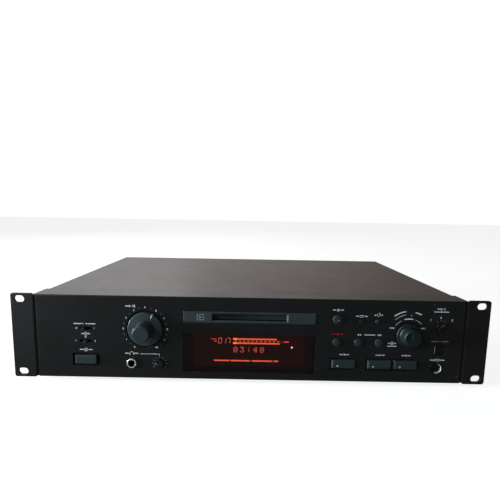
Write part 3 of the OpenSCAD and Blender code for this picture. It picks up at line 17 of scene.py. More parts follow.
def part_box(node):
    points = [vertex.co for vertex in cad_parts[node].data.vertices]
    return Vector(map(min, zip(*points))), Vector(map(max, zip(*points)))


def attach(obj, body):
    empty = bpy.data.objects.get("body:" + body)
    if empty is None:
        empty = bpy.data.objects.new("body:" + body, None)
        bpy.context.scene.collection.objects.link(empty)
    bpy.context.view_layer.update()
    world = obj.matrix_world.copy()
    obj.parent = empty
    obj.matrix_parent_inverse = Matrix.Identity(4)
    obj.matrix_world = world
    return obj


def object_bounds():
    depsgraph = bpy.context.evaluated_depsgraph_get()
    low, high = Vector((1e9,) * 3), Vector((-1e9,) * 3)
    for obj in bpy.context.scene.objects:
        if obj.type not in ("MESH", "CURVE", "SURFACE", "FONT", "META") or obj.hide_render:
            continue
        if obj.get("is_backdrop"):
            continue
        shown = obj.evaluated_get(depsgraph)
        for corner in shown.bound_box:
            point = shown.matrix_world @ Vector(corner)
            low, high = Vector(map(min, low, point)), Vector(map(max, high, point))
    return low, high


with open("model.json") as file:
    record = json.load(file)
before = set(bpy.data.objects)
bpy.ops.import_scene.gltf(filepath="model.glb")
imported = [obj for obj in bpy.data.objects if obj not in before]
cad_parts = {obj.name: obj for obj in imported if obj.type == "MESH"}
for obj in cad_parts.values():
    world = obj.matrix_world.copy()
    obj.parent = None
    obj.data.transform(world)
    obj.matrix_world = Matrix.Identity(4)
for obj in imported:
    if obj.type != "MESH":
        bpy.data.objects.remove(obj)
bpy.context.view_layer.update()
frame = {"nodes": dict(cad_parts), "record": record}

# %% [markdown]
# ## Places on the front and the back
# The printing, the display figures and the pointers all lie on flat faces that look out of the
# front or the back. Sizes there are easiest to read in millimetres, so one helper for each side
# turns a place across the deck, a height above the rack ears' lower edge and a distance out of
# the panel into a point. The zero of each comes from the CAD nodes themselves.

# %% Units and places
MM = 0.001
FRONT_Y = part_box("fascia")[0].y
REAR_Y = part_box("rear_panel")[1].y
EAR_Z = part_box("rack_ear_left")[0].z


def on_front(x, z, out=0.0):
    """A point from millimetres across the deck, up the ears and out of the fascia."""
    return Vector((x * MM, FRONT_Y - out * MM, EAR_Z + z * MM))


def on_rear(x, z, out=0.0):
    """A point from millimetres across the deck, up the ears and out of the rear panel."""
    return Vector((x * MM, REAR_Y + out * MM, EAR_Z + z * MM))


def place_of(name):
    """The middle of a CAD node on the front, in millimetres across and up."""
    low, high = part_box(name)
    return (low.x + high.x) / 2 / MM, ((low.z + high.z) / 2 - EAR_Z) / MM


def proud_of(name):
    """How far a CAD node stands out of the fascia, in millimetres."""
    return (FRONT_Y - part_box(name)[0].y) / MM


def placed_object(name, data):
    """A new object in the scene, with a mesh, a lamp or other data."""
    made = bpy.data.objects.new(name, data)
    bpy.context.scene.collection.objects.link(made)
    return made


print("level knobs at", [round(v, 1) for v in place_of("outer_level_knob")])
print("inner knob stands out", round(proud_of("inner_level_knob"), 1), "mm")

# %% [markdown]
# ## The camera
# The photograph was taken from close by with a short lens, a little above the deck, which is
# why the two rack ears lean apart. Such a view can be rebuilt from known sizes: the corners and
# slots of a two-unit rack panel are standard, so the place, tilt and focal length that make
# them fall on the photograph's own corners can be solved. The numbers below are that answer.

# %% Camera
LENS_PLACE = Vector((-1.333, -472.147, 184.296)) * MM
LOOK_DOWN = 0.1231
LEAN = 0.0176
TURN = -0.0008
LENS_LENGTH = 25.53

optics = bpy.data.cameras.new("camera")
optics.sensor_width = 36
optics.sensor_fit = "HORIZONTAL"
optics.lens = LENS_LENGTH
optics.clip_start = 0.01
optics.clip_end = 50
camera = placed_object("camera", optics)
look = Matrix.Rotation(-LOOK_DOWN, 4, "X") @ Matrix.Rotation(-LEAN, 4, "Y")
look = look @ Matrix.Rotation(-TURN, 4, "Z") @ Matrix.Rotation(math.radians(90), 4, "X")
camera.matrix_world = Matrix.Translation(LENS_PLACE) @ look
bpy.context.scene.camera = camera
print("camera looks down", round(math.degrees(LOOK_DOWN), 1), "degrees")

# %% [markdown]
# ## Node helpers
# Shader and geometry trees are long to write by hand. One small helper adds a node, and treats
# each given input as a wire when it is a socket and as a plain value when it isn't, so that a
# tree reads like a list of steps.


# %% Node helpers
WHITE = (1, 1, 1, 1)
BLACK = (0, 0, 0, 1)


def add(tree, kind, inputs=None, **settings):
    """Adds a node; its inputs may be plain values or other nodes' sockets."""
    made = tree.nodes.new(kind)
    for key, value in settings.items():
        setattr(made, key, value)
    for key, value in (inputs or {}).items():
        if isinstance(value, bpy.types.NodeSocket):
            tree.links.new(value, made.inputs[key])
        else:
            made.inputs[key].default_value = value
    return made


def math_node(tree, operation, *values, clamp=False):
    """A Math node's result for one to three values or sockets."""
    inputs = dict(enumerate(values))
    return add(tree, "ShaderNodeMath", inputs, operation=operation, use_clamp=clamp).outputs[0]


def mixed(tree, factor, first, second):
    """The colour between two colours."""
    inputs = {0: factor, 6: first, 7: second}
    return add(tree, "ShaderNodeMix", inputs, data_type="RGBA").outputs[2]


def spread(tree, value, low, high, start=0.0, end=1.0, **settings):
    """A value between two limits, stretched to run from start to end."""
    inputs = {0: value, 1: low, 2: high, 3: start, 4: end}
    return add(tree, "ShaderNodeMapRange", inputs, **settings).outputs[0]


def noise(tree, place, scale, **more):
    """A cloudy pattern at a place."""
    return add(tree, "ShaderNodeTexNoise", {"Vector": place, "Scale": scale, **more}).outputs[0]


def object_place(tree):
    """The shaded point, in the object's own space."""
    return add(tree, "ShaderNodeTexCoord").outputs["Object"]


def sight(tree):
    """Two masks: what the camera sees directly, and what it sees in a gloss or through glass."""
    ray = add(tree, "ShaderNodeLightPath").outputs
    mirror = math_node(tree, "MAXIMUM", ray["Is Glossy Ray"], ray["Is Transmission Ray"])
    return ray["Is Camera Ray"], mirror


# %% Material helpers
def new_material(name):
    """An empty material and its node tree."""
    material = bpy.data.materials.new(name)
    material.use_nodes = True
    material.node_tree.nodes.clear()
    return material, material.node_tree


def effect(tree, group, **values):
    """A shared group in a material; its inputs take plain values, by name with _ for a space."""
    made = add(tree, "ShaderNodeGroup", node_tree=group)
    for label, value in values.items():
        made.inputs[label.replace("_", " ")].default_value = value
    return made.outputs


def shaded(tree, inputs):
    """Ends a material with a Principled shader."""
    shader = add(tree, "ShaderNodeBsdfPrincipled", inputs)
    add(tree, "ShaderNodeOutputMaterial", {"Surface": shader.outputs[0]})


def colour(red, green, blue):
    """A colour as it is written in sRGB, from 0 to 255, turned to Blender's linear values."""
    linear = [((v / 255 + 0.055) / 1.055) ** 2.4 if v > 10 else v / 255 / 12.92
              for v in (red, green, blue)]
    return (*linear, 1.0)


# %% [markdown]
# ## The studio
# The photograph has a white ground and soft light from the upper left. A white ground is made
# in the world's own shader: rays from the camera, from a gloss or through glass see white,
# while rays that light the deck see a plain grey, so the ground is never what lights it. Gloss
# sees a white studio behind the deck and on its left, and a dimmer one in front and on the
# right, as in a room with one window.

# %% World
DIM_END = 0.1
LEFT_END = 0.68
RIGHT_END = 0.2
PLAIN_LIGHT = 0.13

world = bpy.data.worlds.new("studio")
bpy.context.scene.world = world
world.use_nodes = True
sky = world.node_tree
sky.nodes.clear()
camera_ray, mirror = sight(sky)
view = add(sky, "ShaderNodeTexCoord").outputs[0]
direction = add(sky, "ShaderNodeSeparateXYZ", {0: view}).outputs
depth = spread(sky, direction[1], -0.5, 0.75, DIM_END)
side = spread(sky, direction[0], -0.1, 0.6, LEFT_END, RIGHT_END, interpolation_type="SMOOTHSTEP")
room = math_node(sky, "MULTIPLY", depth, side)
seen = math_node(sky, "MAXIMUM", camera_ray, mirror)
shown = math_node(sky, "MAXIMUM", room, camera_ray)
strength = add(sky, "ShaderNodeMix", {0: seen, 2: PLAIN_LIGHT, 3: shown}).outputs[0]
warmth = math_node(sky, "MULTIPLY", spread(sky, direction[0], -0.4, 0.4), mirror)
tint = mixed(sky, warmth, WHITE, (1.0, 0.87, 0.82, 1))
white = add(sky, "ShaderNodeBackground", {"Color": tint, "Strength": strength})
add(sky, "ShaderNodeOutputWorld", {"Surface": white.outputs[0]})
bpy.context.scene.view_settings.view_transform = "Standard"
print("world nodes", len(sky.nodes))


# %% Lamps
def softbox(name, place, aim, size, watts, tint=(1, 1, 1)):
    """A square area lamp that looks at a point."""
    data = bpy.data.lights.new(name, "AREA")
    data.size = size
    data.energy = watts
    data.color = tint
    turn = (Vector(aim) - Vector(place)).to_track_quat("-Z", "Y").to_matrix().to_4x4()
    placed_object(name, data).matrix_world = Matrix.Translation(place) @ turn
    print(name, watts, "W")


softbox("key_softbox", (-0.95, -0.85, 0.75), (0, -0.1, 0.05), 0.4, 7.5, (0.93, 0.98, 1.0))
softbox("side_softbox", (-1.4, -0.32, 0.14), (0, -0.13, 0.05), 0.25, 36, (0.86, 0.97, 1.0))
softbox("back_softbox", (-0.7, 1.2, 1.1), (0, 0.0, 0.05), 1.0, 5)
softbox("fill_softbox", (1.1, -0.8, 0.7), (0, 0, 0.05), 0.9, 0.3, (1.0, 0.95, 0.93))

# %% [markdown]
# ## The floor
# A pale floor under the deck has to blend into the white ground and still carry the deck's
# soft shadow. A plain diffuse floor is lit unevenly, so for the eye most of its white comes
# from a light of its own, and only a part of it darkens in the shadow.

# %% Floor
FLOOR_SIDE = 8.0
OWN_WHITE = 0.84

floor_material, ground = new_material("floor_white")
camera_ray, mirror = sight(ground)
spot = add(ground, "ShaderNodeSeparateXYZ", {0: object_place(ground)})
depth = spread(ground, spot.outputs[1], -0.15, 0.4, DIM_END)
bright = math_node(ground, "MULTIPLY", mirror, depth)
own = math_node(ground, "MAXIMUM", camera_ray, bright)
own = math_node(ground, "MULTIPLY", own, OWN_WHITE)
fleck = add(ground, "ShaderNodeTexNoise", {"Scale": 40.0}).outputs[0]
tone = mixed(ground, fleck, (0.40, 0.40, 0.40, 1), (0.44, 0.44, 0.44, 1))
dim = math_node(ground, "SUBTRACT", mirror, bright)
tone = mixed(ground, dim, tone, BLACK)
matt = add(ground, "ShaderNodeBsdfDiffuse", {"Color": tone})
glow = add(ground, "ShaderNodeEmission", {"Color": WHITE, "Strength": own})
both = add(ground, "ShaderNodeAddShader", {0: matt.outputs[0], 1: glow.outputs[0]})
add(ground, "ShaderNodeOutputMaterial", {"Surface": both.outputs[0]})

floor_mesh = bpy.data.meshes.new("floor")
half = FLOOR_SIDE / 2
corners = [(-half, -half, 0), (half, -half, 0), (half, half, 0), (-half, half, 0)]
floor_mesh.from_pydata(corners, [], [(0, 1, 2, 3)])
floor_mesh.materials.append(floor_material)
floor = placed_object("floor", floor_mesh)
floor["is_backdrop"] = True
print("floor", FLOOR_SIDE, "m wide")

# %% [markdown]
# ## Effects that the finishes share
# Real surfaces have three things in common: a fine grain from the mould, the rolling mill or
# the paint, a slow change of gloss where hands and cloths have been, and edges that are a
# little round and a little worn. Each is a node group, built once, with its own inputs, so that
# every material can use it at its own scale. A group gives only values, colours and normals.


# %% A group of shader nodes
NUMBER, VECTOR = "NodeSocketFloat", "NodeSocketVector"


def shader_group(name, inputs, outputs):
    """An empty shader node group with named inputs and outputs."""
    tree = bpy.data.node_groups.new(name, "ShaderNodeTree")
    for label, kind, value in inputs:
        socket = tree.interface.new_socket(name=label, in_out="INPUT", socket_type=kind)
        socket.default_value = value
    for label, kind in outputs:
        tree.interface.new_socket(name=label, in_out="OUTPUT", socket_type=kind)
    return tree, tree.nodes.new("NodeGroupInput").outputs, tree.nodes.new("NodeGroupOutput")


def wire(tree, result, **values):
    """Connects sockets to a group's outputs, by name."""
    for label, value in values.items():
        tree.links.new(value, result.inputs[label])
    print(tree.name, "gives", list(values))


# %% Fine grain
grain, given, result = shader_group(
    "fine_grain", [("Grain Size", NUMBER, 0.0004), ("Stretch", VECTOR, (1, 1, 1))],
    [("Height", NUMBER), ("Tone", NUMBER)])
fine = math_node(grain, "DIVIDE", 1.0, given["Grain Size"])
drawn = add(grain, "ShaderNodeVectorMath", {0: object_place(grain), 1: given["Stretch"]},
            operation="MULTIPLY").outputs[0]
small = noise(grain, drawn, fine, Detail=3.0)
broad = noise(grain, drawn, 38.0, Detail=4.0)
wire(grain, result, Height=small, Tone=broad)

# %% Handling: slow changes of gloss, and fine dust
handling, given, result = shader_group(
    "handling", [("Gloss", NUMBER, 0.5), ("Change", NUMBER, 0.1)],
    [("Roughness", NUMBER), ("Dust", NUMBER)])
place = object_place(handling)
cloth = noise(handling, place, 22.0, Detail=5.0, Distortion=1.2)
swing = math_node(handling, "MULTIPLY_ADD", cloth, 2.0, -1.0)
rough = math_node(handling, "MULTIPLY_ADD", swing, given["Change"], given["Gloss"], clamp=True)
speck = noise(handling, place, 900.0, Detail=2.0)
wire(handling, result, Roughness=rough, Dust=spread(handling, speck, 0.64, 0.74))

# %% Worn edges: where a rounded normal departs from the true one, there is an edge
worn, given, result = shader_group(
    "worn_edges", [("Radius", NUMBER, 0.0005), ("Wear", NUMBER, 0.5)],
    [("Mask", NUMBER), ("Normal", VECTOR)])
rounded = add(worn, "ShaderNodeBevel", {"Radius": given["Radius"]}, samples=6)
true = add(worn, "ShaderNodeNewGeometry").outputs["True Normal"]
match = add(worn, "ShaderNodeVectorMath", {0: rounded.outputs[0], 1: true}, operation="DOT_PRODUCT")
edge = spread(worn, match.outputs["Value"], 0.97, 0.80)
rub = noise(worn, object_place(worn), 150.0, Detail=5.0)
mask = math_node(worn, "MULTIPLY", edge, spread(worn, rub, 0.42, 0.62))
mask = math_node(worn, "MULTIPLY", mask, given["Wear"])
wire(worn, result, Mask=mask, Normal=rounded.outputs[0])

# %% [markdown]
# ## Finishes
# Moulded plastic, powder coat, paint and bare metal differ in four things: the colour, the
# grain's size and depth, the gloss, and what shows where an edge is rubbed. One function builds
# a surface from these, so each finish below is one call with its own choices. Numbers that are
# the same all over go straight on the shader, and only what varies is wired.


# %% A surface with grain, handling and worn edges
finish = {}
MICRON = 1e-6
DUST = (0.55, 0.54, 0.52, 1)


def surface(name, body, under, gloss, change=0.08, size=400, depth=40, wear=0.4,
            radius=400, metal=0.0, level=0.3, stretch=(1, 1, 1), vary=0.25, dust=0.02):
    """A finish: body colour, colour under a rubbed edge, gloss and grain; sizes in micrometres."""
    finish[name], tree = new_material(name)
    body, under = colour(*body), colour(*under)
    marks = effect(tree, grain, Grain_Size=size * MICRON, Stretch=stretch)
    hands = effect(tree, handling, Gloss=gloss, Change=change)
    edges = effect(tree, worn, Radius=radius * MICRON, Wear=wear)
    darker = tuple(v * (1 - vary) for v in body[:3]) + (1.0,)
    lighter = tuple(min(1.0, v * (1 + vary)) for v in body[:3]) + (1.0,)
    base = mixed(tree, marks["Tone"], darker, lighter)
    dusted = math_node(tree, "MULTIPLY", hands["Dust"], dust)
    base = mixed(tree, dusted, base, DUST)
    base = mixed(tree, edges["Mask"], base, under)
    bump = add(tree, "ShaderNodeBump", {"Height": marks["Height"], "Normal": edges["Normal"],
                                        "Distance": depth * MICRON, "Strength": 0.8})
    shaded(tree, {"Base Color": base, "Roughness": hands["Roughness"], "Metallic": metal,
                  "Normal": bump.outputs[0], "Specular IOR Level": level})


# %% [markdown]
# ### Plastics
# The fascia, keys and knobs are moulded plastic. The tool that moulds them is spark eroded,
# which leaves a fine even grain, and rubbing polishes the high edges, so they show a shade
# lighter. The grey keys are a cooler colour than the near-black fascia.

# %% Plastics
surface("fascia_plastic", (24, 25, 26), (50, 54, 55), 0.3, size=350, depth=30, radius=600,
        level=0.4)
surface("bezel_plastic", (50, 60, 63), (92, 104, 108), 0.5, radius=600)
surface("key_plastic", (42, 51, 54), (104, 117, 120), 0.35, depth=20, radius=1200, level=0.5)
surface("bar_plastic", (42, 52, 55), (94, 106, 109), 0.45, depth=30, radius=1400, level=0.35)
surface("knob_plastic", (43, 56, 61), (98, 114, 119), 0.4, depth=30, radius=800, level=0.4)
surface("ring_plastic", (42, 55, 60), (74, 88, 93), 0.48, depth=30, level=0.35)
surface("dial_plastic", (23, 33, 37), (84, 98, 102), 0.36, depth=20, radius=800, level=0.42)
surface("dark_key", (27, 30, 32), (84, 92, 95), 0.4, depth=20, radius=900, level=0.4)
surface("small_knob_plastic", (18, 21, 22), (62, 66, 68), 0.45, radius=300)
surface("lever_plastic", (32, 36, 38), (90, 96, 98), 0.45, radius=200)
surface("component_black", (34, 34, 36), (80, 80, 82), 0.5)
surface("jack_plastic", (17, 17, 18), (54, 56, 58), 0.4, radius=300)
surface("jack_white", (222, 222, 216), (238, 238, 234), 0.35, vary=0.04, level=0.4)
surface("jack_red", (168, 34, 32), (200, 90, 86), 0.35, vary=0.08, level=0.4)
surface("shutter_plastic", (22, 24, 25), (46, 49, 50), 0.45, depth=20, radius=300)
surface("sled_plastic", (58, 60, 62), (110, 112, 114), 0.5)
surface("gear_plastic", (222, 218, 205), (240, 238, 230), 0.4, vary=0.05)
surface("foot_rubber", (26, 26, 27), (60, 60, 62), 0.75, size=600, depth=60, level=0.2)
print("plastics", len(finish))

# %% [markdown]
# ### Painted and bare metal
# The ears have a powder coat with a slight orange peel, the cover a fine textured warm grey
# paint, and the back a black one. Rolled sheet and turned parts are bare: their fine lines run
# one way, so their grain is stretched.

# %% Painted and bare metal
surface("ear_steel", (22, 22, 23), (66, 66, 68), 0.36, size=700, depth=50, radius=500, level=0.42)
surface("cover_steel", (66, 57, 54), (118, 108, 103), 0.38, change=0.06, size=500, depth=60,
        radius=800, level=0.5, stretch=(0.25, 1, 1), vary=0.12, dust=0.05)
surface("rear_steel", (38, 38, 40), (96, 96, 98), 0.5, size=600, depth=50)
surface("screw_black", (34, 34, 36), (120, 118, 114), 0.4, wear=0.8, radius=300)
surface("chassis_steel", (168, 170, 172), (205, 206, 208), 0.4, metal=1.0, size=2000,
        stretch=(1, 0.1, 1), vary=0.08)
surface("mech_steel", (178, 181, 184), (214, 215, 217), 0.35, metal=1.0, stretch=(0.1, 1, 1),
        vary=0.06)
surface("shaft_steel", (190, 192, 194), (220, 221, 222), 0.28, metal=1.0, stretch=(1, 0.1, 1),
        vary=0.05)
surface("xlr_metal", (172, 174, 176), (212, 213, 214), 0.32, metal=1.0, vary=0.06)
surface("nut_chrome", (214, 214, 211), (236, 236, 233), 0.3, metal=0.25, depth=5, vary=0.04,
        radius=200, level=0.8)
surface("phono_metal", (212, 176, 92), (232, 204, 130), 0.22, metal=1.0, depth=10, vary=0.06)
surface("screw_brass", (206, 168, 92), (228, 198, 130), 0.3, metal=1.0, stretch=(1, 0.1, 1),
        vary=0.06)
surface("sink_aluminium", (196, 198, 200), (224, 225, 226), 0.38, metal=1.0, stretch=(1, 1, 0.1),
        vary=0.05)
surface("transformer_core", (108, 104, 98), (150, 146, 140), 0.5, metal=0.3, stretch=(1, 6, 1),
        vary=0.2)
print("finishes", len(finish))


# %% [markdown]
# ### Circuit boards
# A board is a coloured mask over copper tracks. The tracks show as slightly lighter lines, which
# a brick pattern gives well enough on boards that only show when the case is open.

# %% Circuit boards
def board(name, mask, copper, gloss):
    """A solder-masked board with faint tracks and a rough weave."""
    finish[name], tree = new_material(name)
    where = object_place(tree)
    tracks = add(tree, "ShaderNodeTexBrick",
                 {"Vector": where, "Scale": 60.0, "Mortar Size": 0.03, "Brick Width": 0.9,
                  "Color1": mask, "Color2": mask, "Mortar": copper})
    weave = noise(tree, where, 2200.0)
    hands = effect(tree, handling, Gloss=gloss, Change=0.06)
    bump = add(tree, "ShaderNodeBump", {"Height": weave, "Distance": 0.00003})
    shaded(tree, {"Base Color": tracks.outputs[0], "Roughness": hands["Roughness"],
                  "Normal": bump.outputs[0]})
    print(name, "gloss", gloss)


board("board_green", colour(24, 84, 52), colour(58, 120, 84), 0.3)
board("board_brown", colour(150, 112, 64), colour(176, 140, 88), 0.5)

# %% [markdown]
# ### The display's pane and tube
# The window is a block of tinted acrylic: it lets the lit figures through, turns them orange,
# and looks nearly black from outside. Glass with a colour of its own does that, because light
# takes the tint on its way in and again on its way out. Behind it the display tube is dark
# glass over a fine grid, and its figures glow by themselves. The tube's glass also has a faint
# warm painted glow of its own, so that it shows dim red behind the pane.

# %% The display's pane
finish["window_acrylic"], tree = new_material("window_acrylic")
hands = effect(tree, handling, Gloss=0.06, Change=0.04)
marks = effect(tree, grain, Grain_Size=0.004)
tint = mixed(tree, marks["Tone"], (0.52, 0.15, 0.15, 1), (0.60, 0.18, 0.17, 1))
bump = add(tree, "ShaderNodeBump", {"Height": marks["Height"], "Distance": 0.000004})
shaded(tree, {"Base Color": tint, "Roughness": hands["Roughness"], "IOR": 1.49,
              "Normal": bump.outputs[0], "Transmission Weight": 1.0, "Specular IOR Level": 0.1})
print("pane nodes", len(tree.nodes))

# %% The display's tube
finish["tube_glass"], tree = new_material("tube_glass")
grid = add(tree, "ShaderNodeTexBrick",
           {"Vector": object_place(tree), "Scale": 700.0, "Mortar Size": 0.12,
            "Brick Width": 1.0, "Row Height": 1.0, "Mortar": colour(20, 19, 19),
            "Color1": colour(6, 6, 7), "Color2": colour(9, 9, 10)}, offset=0.0)
hands = effect(tree, handling, Gloss=0.18, Change=0.05)
# The faint warm emission of the whole tube is a painted glow.
shaded(tree, {"Base Color": grid.outputs[0], "Roughness": hands["Roughness"],
              "Specular IOR Level": 0.06, "Emission Color": (1.0, 0.7, 0.5, 1),
              "Emission Strength": 0.013})
print("tube nodes", len(tree.nodes))


# %% Light of the figures, the white of the printing and a painted edge highlight
def lit(name, first, second, strength):
    """A phosphor that glows a little unevenly."""
    finish[name], tree = new_material(name)
    glow = mixed(tree, noise(tree, object_place(tree), 260.0), (*first, 1), (*second, 1))
    hands = effect(tree, handling)
    shaded(tree, {"Base Color": glow, "Roughness": hands["Roughness"], "Emission Color": glow,
                  "Emission Strength": strength})


lit("figure_light", (1.0, 0.42, 0.3), (1.0, 0.52, 0.36), 1.35)
lit("bar_light", (1.0, 0.4, 0.16), (1.0, 0.5, 0.22), 1.6)
lit("first_light", (1.0, 0.62, 0.16), (1.0, 0.72, 0.22), 2.4)
lit("dim_light", (1.0, 0.3, 0.1), (1.0, 0.4, 0.15), 0.9)
lit("red_light", (1.0, 0.12, 0.1), (1.0, 0.18, 0.16), 1.7)
lit("pale_light", (1.0, 0.9, 0.8), (1.0, 1.0, 0.9), 6.0)

INK_FILM = dict(depth=10, radius=100)
surface("white_print", (214, 220, 222), (150, 154, 156), 0.5, **INK_FILM, vary=0.08)
surface("dim_print", (128, 134, 136), (96, 100, 102), 0.55, **INK_FILM, vary=0.12)
surface("bright_print", (236, 240, 240), (190, 194, 196), 0.4, **INK_FILM, level=0.4, vary=0.04)
surface("red_print", (150, 34, 38), (90, 26, 28), 0.5, **INK_FILM, vary=0.1)
# A pale grey for thin strips that are painted highlights on edges.
surface("painted_edge_highlight", (176, 186, 190), (210, 214, 216), 0.3, radius=100, level=0.5)
print("finishes in all", len(finish))

# %% [markdown]
# ## Dress the CAD nodes
# The CAD nodes have the right shapes, so they stay and only get these finishes, through their
# material slots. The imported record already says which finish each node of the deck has, so the
# finishes above carry the record's names and one loop hands them out. Three of the grey
# mouldings have a shade of their own, which the photograph shows and the record doesn't.

# %% Finish for each node
OWN_SHADE = {"outer_level_knob": "ring_plastic", "jog_knob": "dial_plastic",
             "display_button": "dark_key"}
parts = frame["record"]["subparts"]
for part in parts:
    cad_object = frame["nodes"][part["node"]]
    cad_object.data.materials.clear()
    shade = OWN_SHADE.get(part["node"], part["material_slot"])
    cad_object.data.materials.append(finish[shade])
print("nodes still bare:", sorted(set(frame["nodes"]) - {part["node"] for part in parts}))

# %% [markdown]
# ## Flat marks
# Screen printing is a film of ink a few hundredths of a millimetre thick. An image texture
# could carry it, but small plates of real thickness stay sharp from close by and are part of
# the mesh itself. A few helpers draw plates, discs and arcs in millimetres into one bmesh,
# and another turns a full bmesh into a finished piece that rides on its body. Each mark sinks
# a little into its ground, so that no gap shows under it.

# %% Plates, discs and arcs
INK = 0.05
SUNK = 0.02


def around(centre, radius, turn):
    """A place on a circle, at an angle in degrees clockwise from upright."""
    angle = math.radians(turn)
    return centre[0] + radius * math.sin(angle), centre[1] + radius * math.cos(angle)


def plate(mesh, outline, out=0.0, ink=INK, spot_on=on_front):
    """A flat plate with a convex outline of (x, z) points on the front, or on another face."""
    back = [mesh.verts.new(spot_on(x, z, out - SUNK)) for x, z in outline]
    face = [mesh.verts.new(spot_on(x, z, out + ink)) for x, z in outline]
    mesh.faces.new(face)
    mesh.faces.new(back[::-1])
    for i, corner in enumerate(back):
        after = (i + 1) % len(back)
        mesh.faces.new([corner, back[after], face[after], face[i]])


def bar(mesh, x, z, wide, high, out=0.0, turn=0.0, ink=INK, spot_on=on_front):
    """A rectangle, turned clockwise from upright."""
    cos, sin = math.cos(math.radians(turn)), math.sin(math.radians(turn))
    corners = [(u * wide / 2, v * high / 2) for u, v in ((-1, -1), (1, -1), (1, 1), (-1, 1))]
    outline = [(x + u * cos + v * sin, z - u * sin + v * cos) for u, v in corners]
    plate(mesh, outline, out, ink, spot_on)


def circle(x, z, radius, sides):
    """The corners of a round outline."""
    turns = [2 * math.pi * i / sides for i in range(sides)]
    return [(x + radius * math.cos(turn), z + radius * math.sin(turn)) for turn in turns]


def disc(mesh, x, z, radius, out=0.0, ink=INK):
    """A round dot."""
    plate(mesh, circle(x, z, radius, 28), out, ink)


def arc(mesh, x, z, radius, wide, start, end, out=0.0, ink=INK, steps=24, sunk=SUNK,
        spot_on=on_front):
    """A curved line about a centre, between two angles clockwise from upright."""
    near, far = radius - wide / 2, radius + wide / 2
    section = ((near, -sunk), (far, -sunk), (far, ink), (near, ink))
    turns = [start + (end - start) * i / steps for i in range(steps + 1)]
    rows = [[mesh.verts.new(spot_on(*around((x, z), distance, turn), out + level))
             for distance, level in section] for turn in turns]
    for here, there in zip(rows, rows[1:]):
        for i in range(4):
            mesh.faces.new([here[i], here[(i + 1) % 4], there[(i + 1) % 4], there[i]])
    if abs(end - start) < 360:
        mesh.faces.new(rows[0][::-1])
        mesh.faces.new(rows[-1])


def triangle(mesh, x, z, size, point, out=0.0, spot_on=on_front):
    """A triangle that points left, right, up or down."""
    shapes = {"right": ((-1, -1), (1, 0), (-1, 1)), "left": ((1, 1), (-1, 0), (1, -1)),
              "up": ((-1, -1), (1, -1), (0, 1)), "down": ((-1, 1), (0, -1), (1, 1))}
    corners = [(x + u * size / 2, z + v * size / 2) for u, v in shapes[point]]
    plate(mesh, corners, out, INK, spot_on)


def rectangle(mesh, x, z, sides, ends, **more):
    """Four bars round a place; sides and ends each say how far out, how wide and how high."""
    for way in (-1, 1):
        bar(mesh, x + way * sides[0], z, sides[1], sides[2], **more)
        bar(mesh, x, z + way * ends[0], ends[1], ends[2], **more)


# %% From bmesh to finished piece
def piece(name, mesh, material, body="deck"):
    """Closes up a bmesh, gives it its finish and lets it ride on a body."""
    bmesh.ops.remove_doubles(mesh, verts=mesh.verts, dist=1e-7)
    bmesh.ops.recalc_face_normals(mesh, faces=mesh.faces)
    data = bpy.data.meshes.new(name)
    mesh.to_mesh(data)
    mesh.free()
    data.materials.append(finish[material])
    made = placed_object(name, data)
    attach(made, body)
    print(name, "faces", len(data.polygons))


# %% [markdown]
# ## Scales round the knobs
# The level scale has a number at every tenth of the turn and a small mark between each pair,
# and the two small knobs have plain marks. Marks that repeat round a centre are a job for
# Geometry Nodes: points are set out by an angle that grows with their index, a small block is
# put on each, and the result is made real. The tree is built once and used for each knob.


# %% Geometry tree for marks round a centre
BLOCKS = [("Count", "NodeSocketInt"), ("Block", VECTOR), ("Material", "NodeSocketMaterial")]


def geometry_tree(name, sockets):
    """An empty geometry tree with named inputs, among them those of its blocks."""
    tree = bpy.data.node_groups.new(name, "GeometryNodeTree")
    for label, kind in sockets + BLOCKS:
        tree.interface.new_socket(name=label, in_out="INPUT", socket_type=kind)
    tree.interface.new_socket(name="Geometry", in_out="OUTPUT", socket_type="NodeSocketGeometry")
    return tree, tree.nodes.new("NodeGroupInput").outputs, tree.nodes.new("NodeGroupOutput")


def set_out_blocks(tree, given, result, spot, **turned):
    """Ends a tree: a block on each point, made real and given its material."""
    points = add(tree, "GeometryNodePoints", {"Count": given["Count"], "Position": spot})
    block = add(tree, "GeometryNodeMeshCube", {"Size": given["Block"]})
    placed = add(tree, "GeometryNodeInstanceOnPoints",
                 {"Points": points.outputs[0], "Instance": block.outputs[0], **turned})
    real = add(tree, "GeometryNodeRealizeInstances", {0: placed.outputs[0]})
    inked = add(tree, "GeometryNodeSetMaterial",
                {"Geometry": real.outputs[0], "Material": given["Material"]})
    tree.links.new(inked.outputs[0], result.inputs["Geometry"])
    print(tree.name, "nodes", len(tree.nodes))


ring_marks, given, result = geometry_tree("ring_marks", [
    ("Centre", VECTOR), ("First", NUMBER), ("Step", NUMBER), ("Radius", NUMBER)])
index = add(ring_marks, "GeometryNodeInputIndex").outputs[0]
turn = math_node(ring_marks, "MULTIPLY_ADD", index, given["Step"], given["First"])
across, upward = (math_node(ring_marks, "MULTIPLY", math_node(ring_marks, curve, turn),
                            given["Radius"]) for curve in ("SINE", "COSINE"))
offset = add(ring_marks, "ShaderNodeCombineXYZ", {0: across, 2: upward}).outputs[0]
spot = add(ring_marks, "ShaderNodeVectorMath", {0: offset, 1: given["Centre"]}).outputs[0]
angle = add(ring_marks, "ShaderNodeCombineXYZ", {1: turn}).outputs[0]
spin = add(ring_marks, "FunctionNodeEulerToRotation", {0: angle}).outputs[0]
set_out_blocks(ring_marks, given, result, spot, Rotation=spin)


# %% [markdown]
# A tree's result lives only while its modifier does. To keep it, the evaluated object is copied
# to a plain mesh and the modifier is dropped before the piece joins the deck.

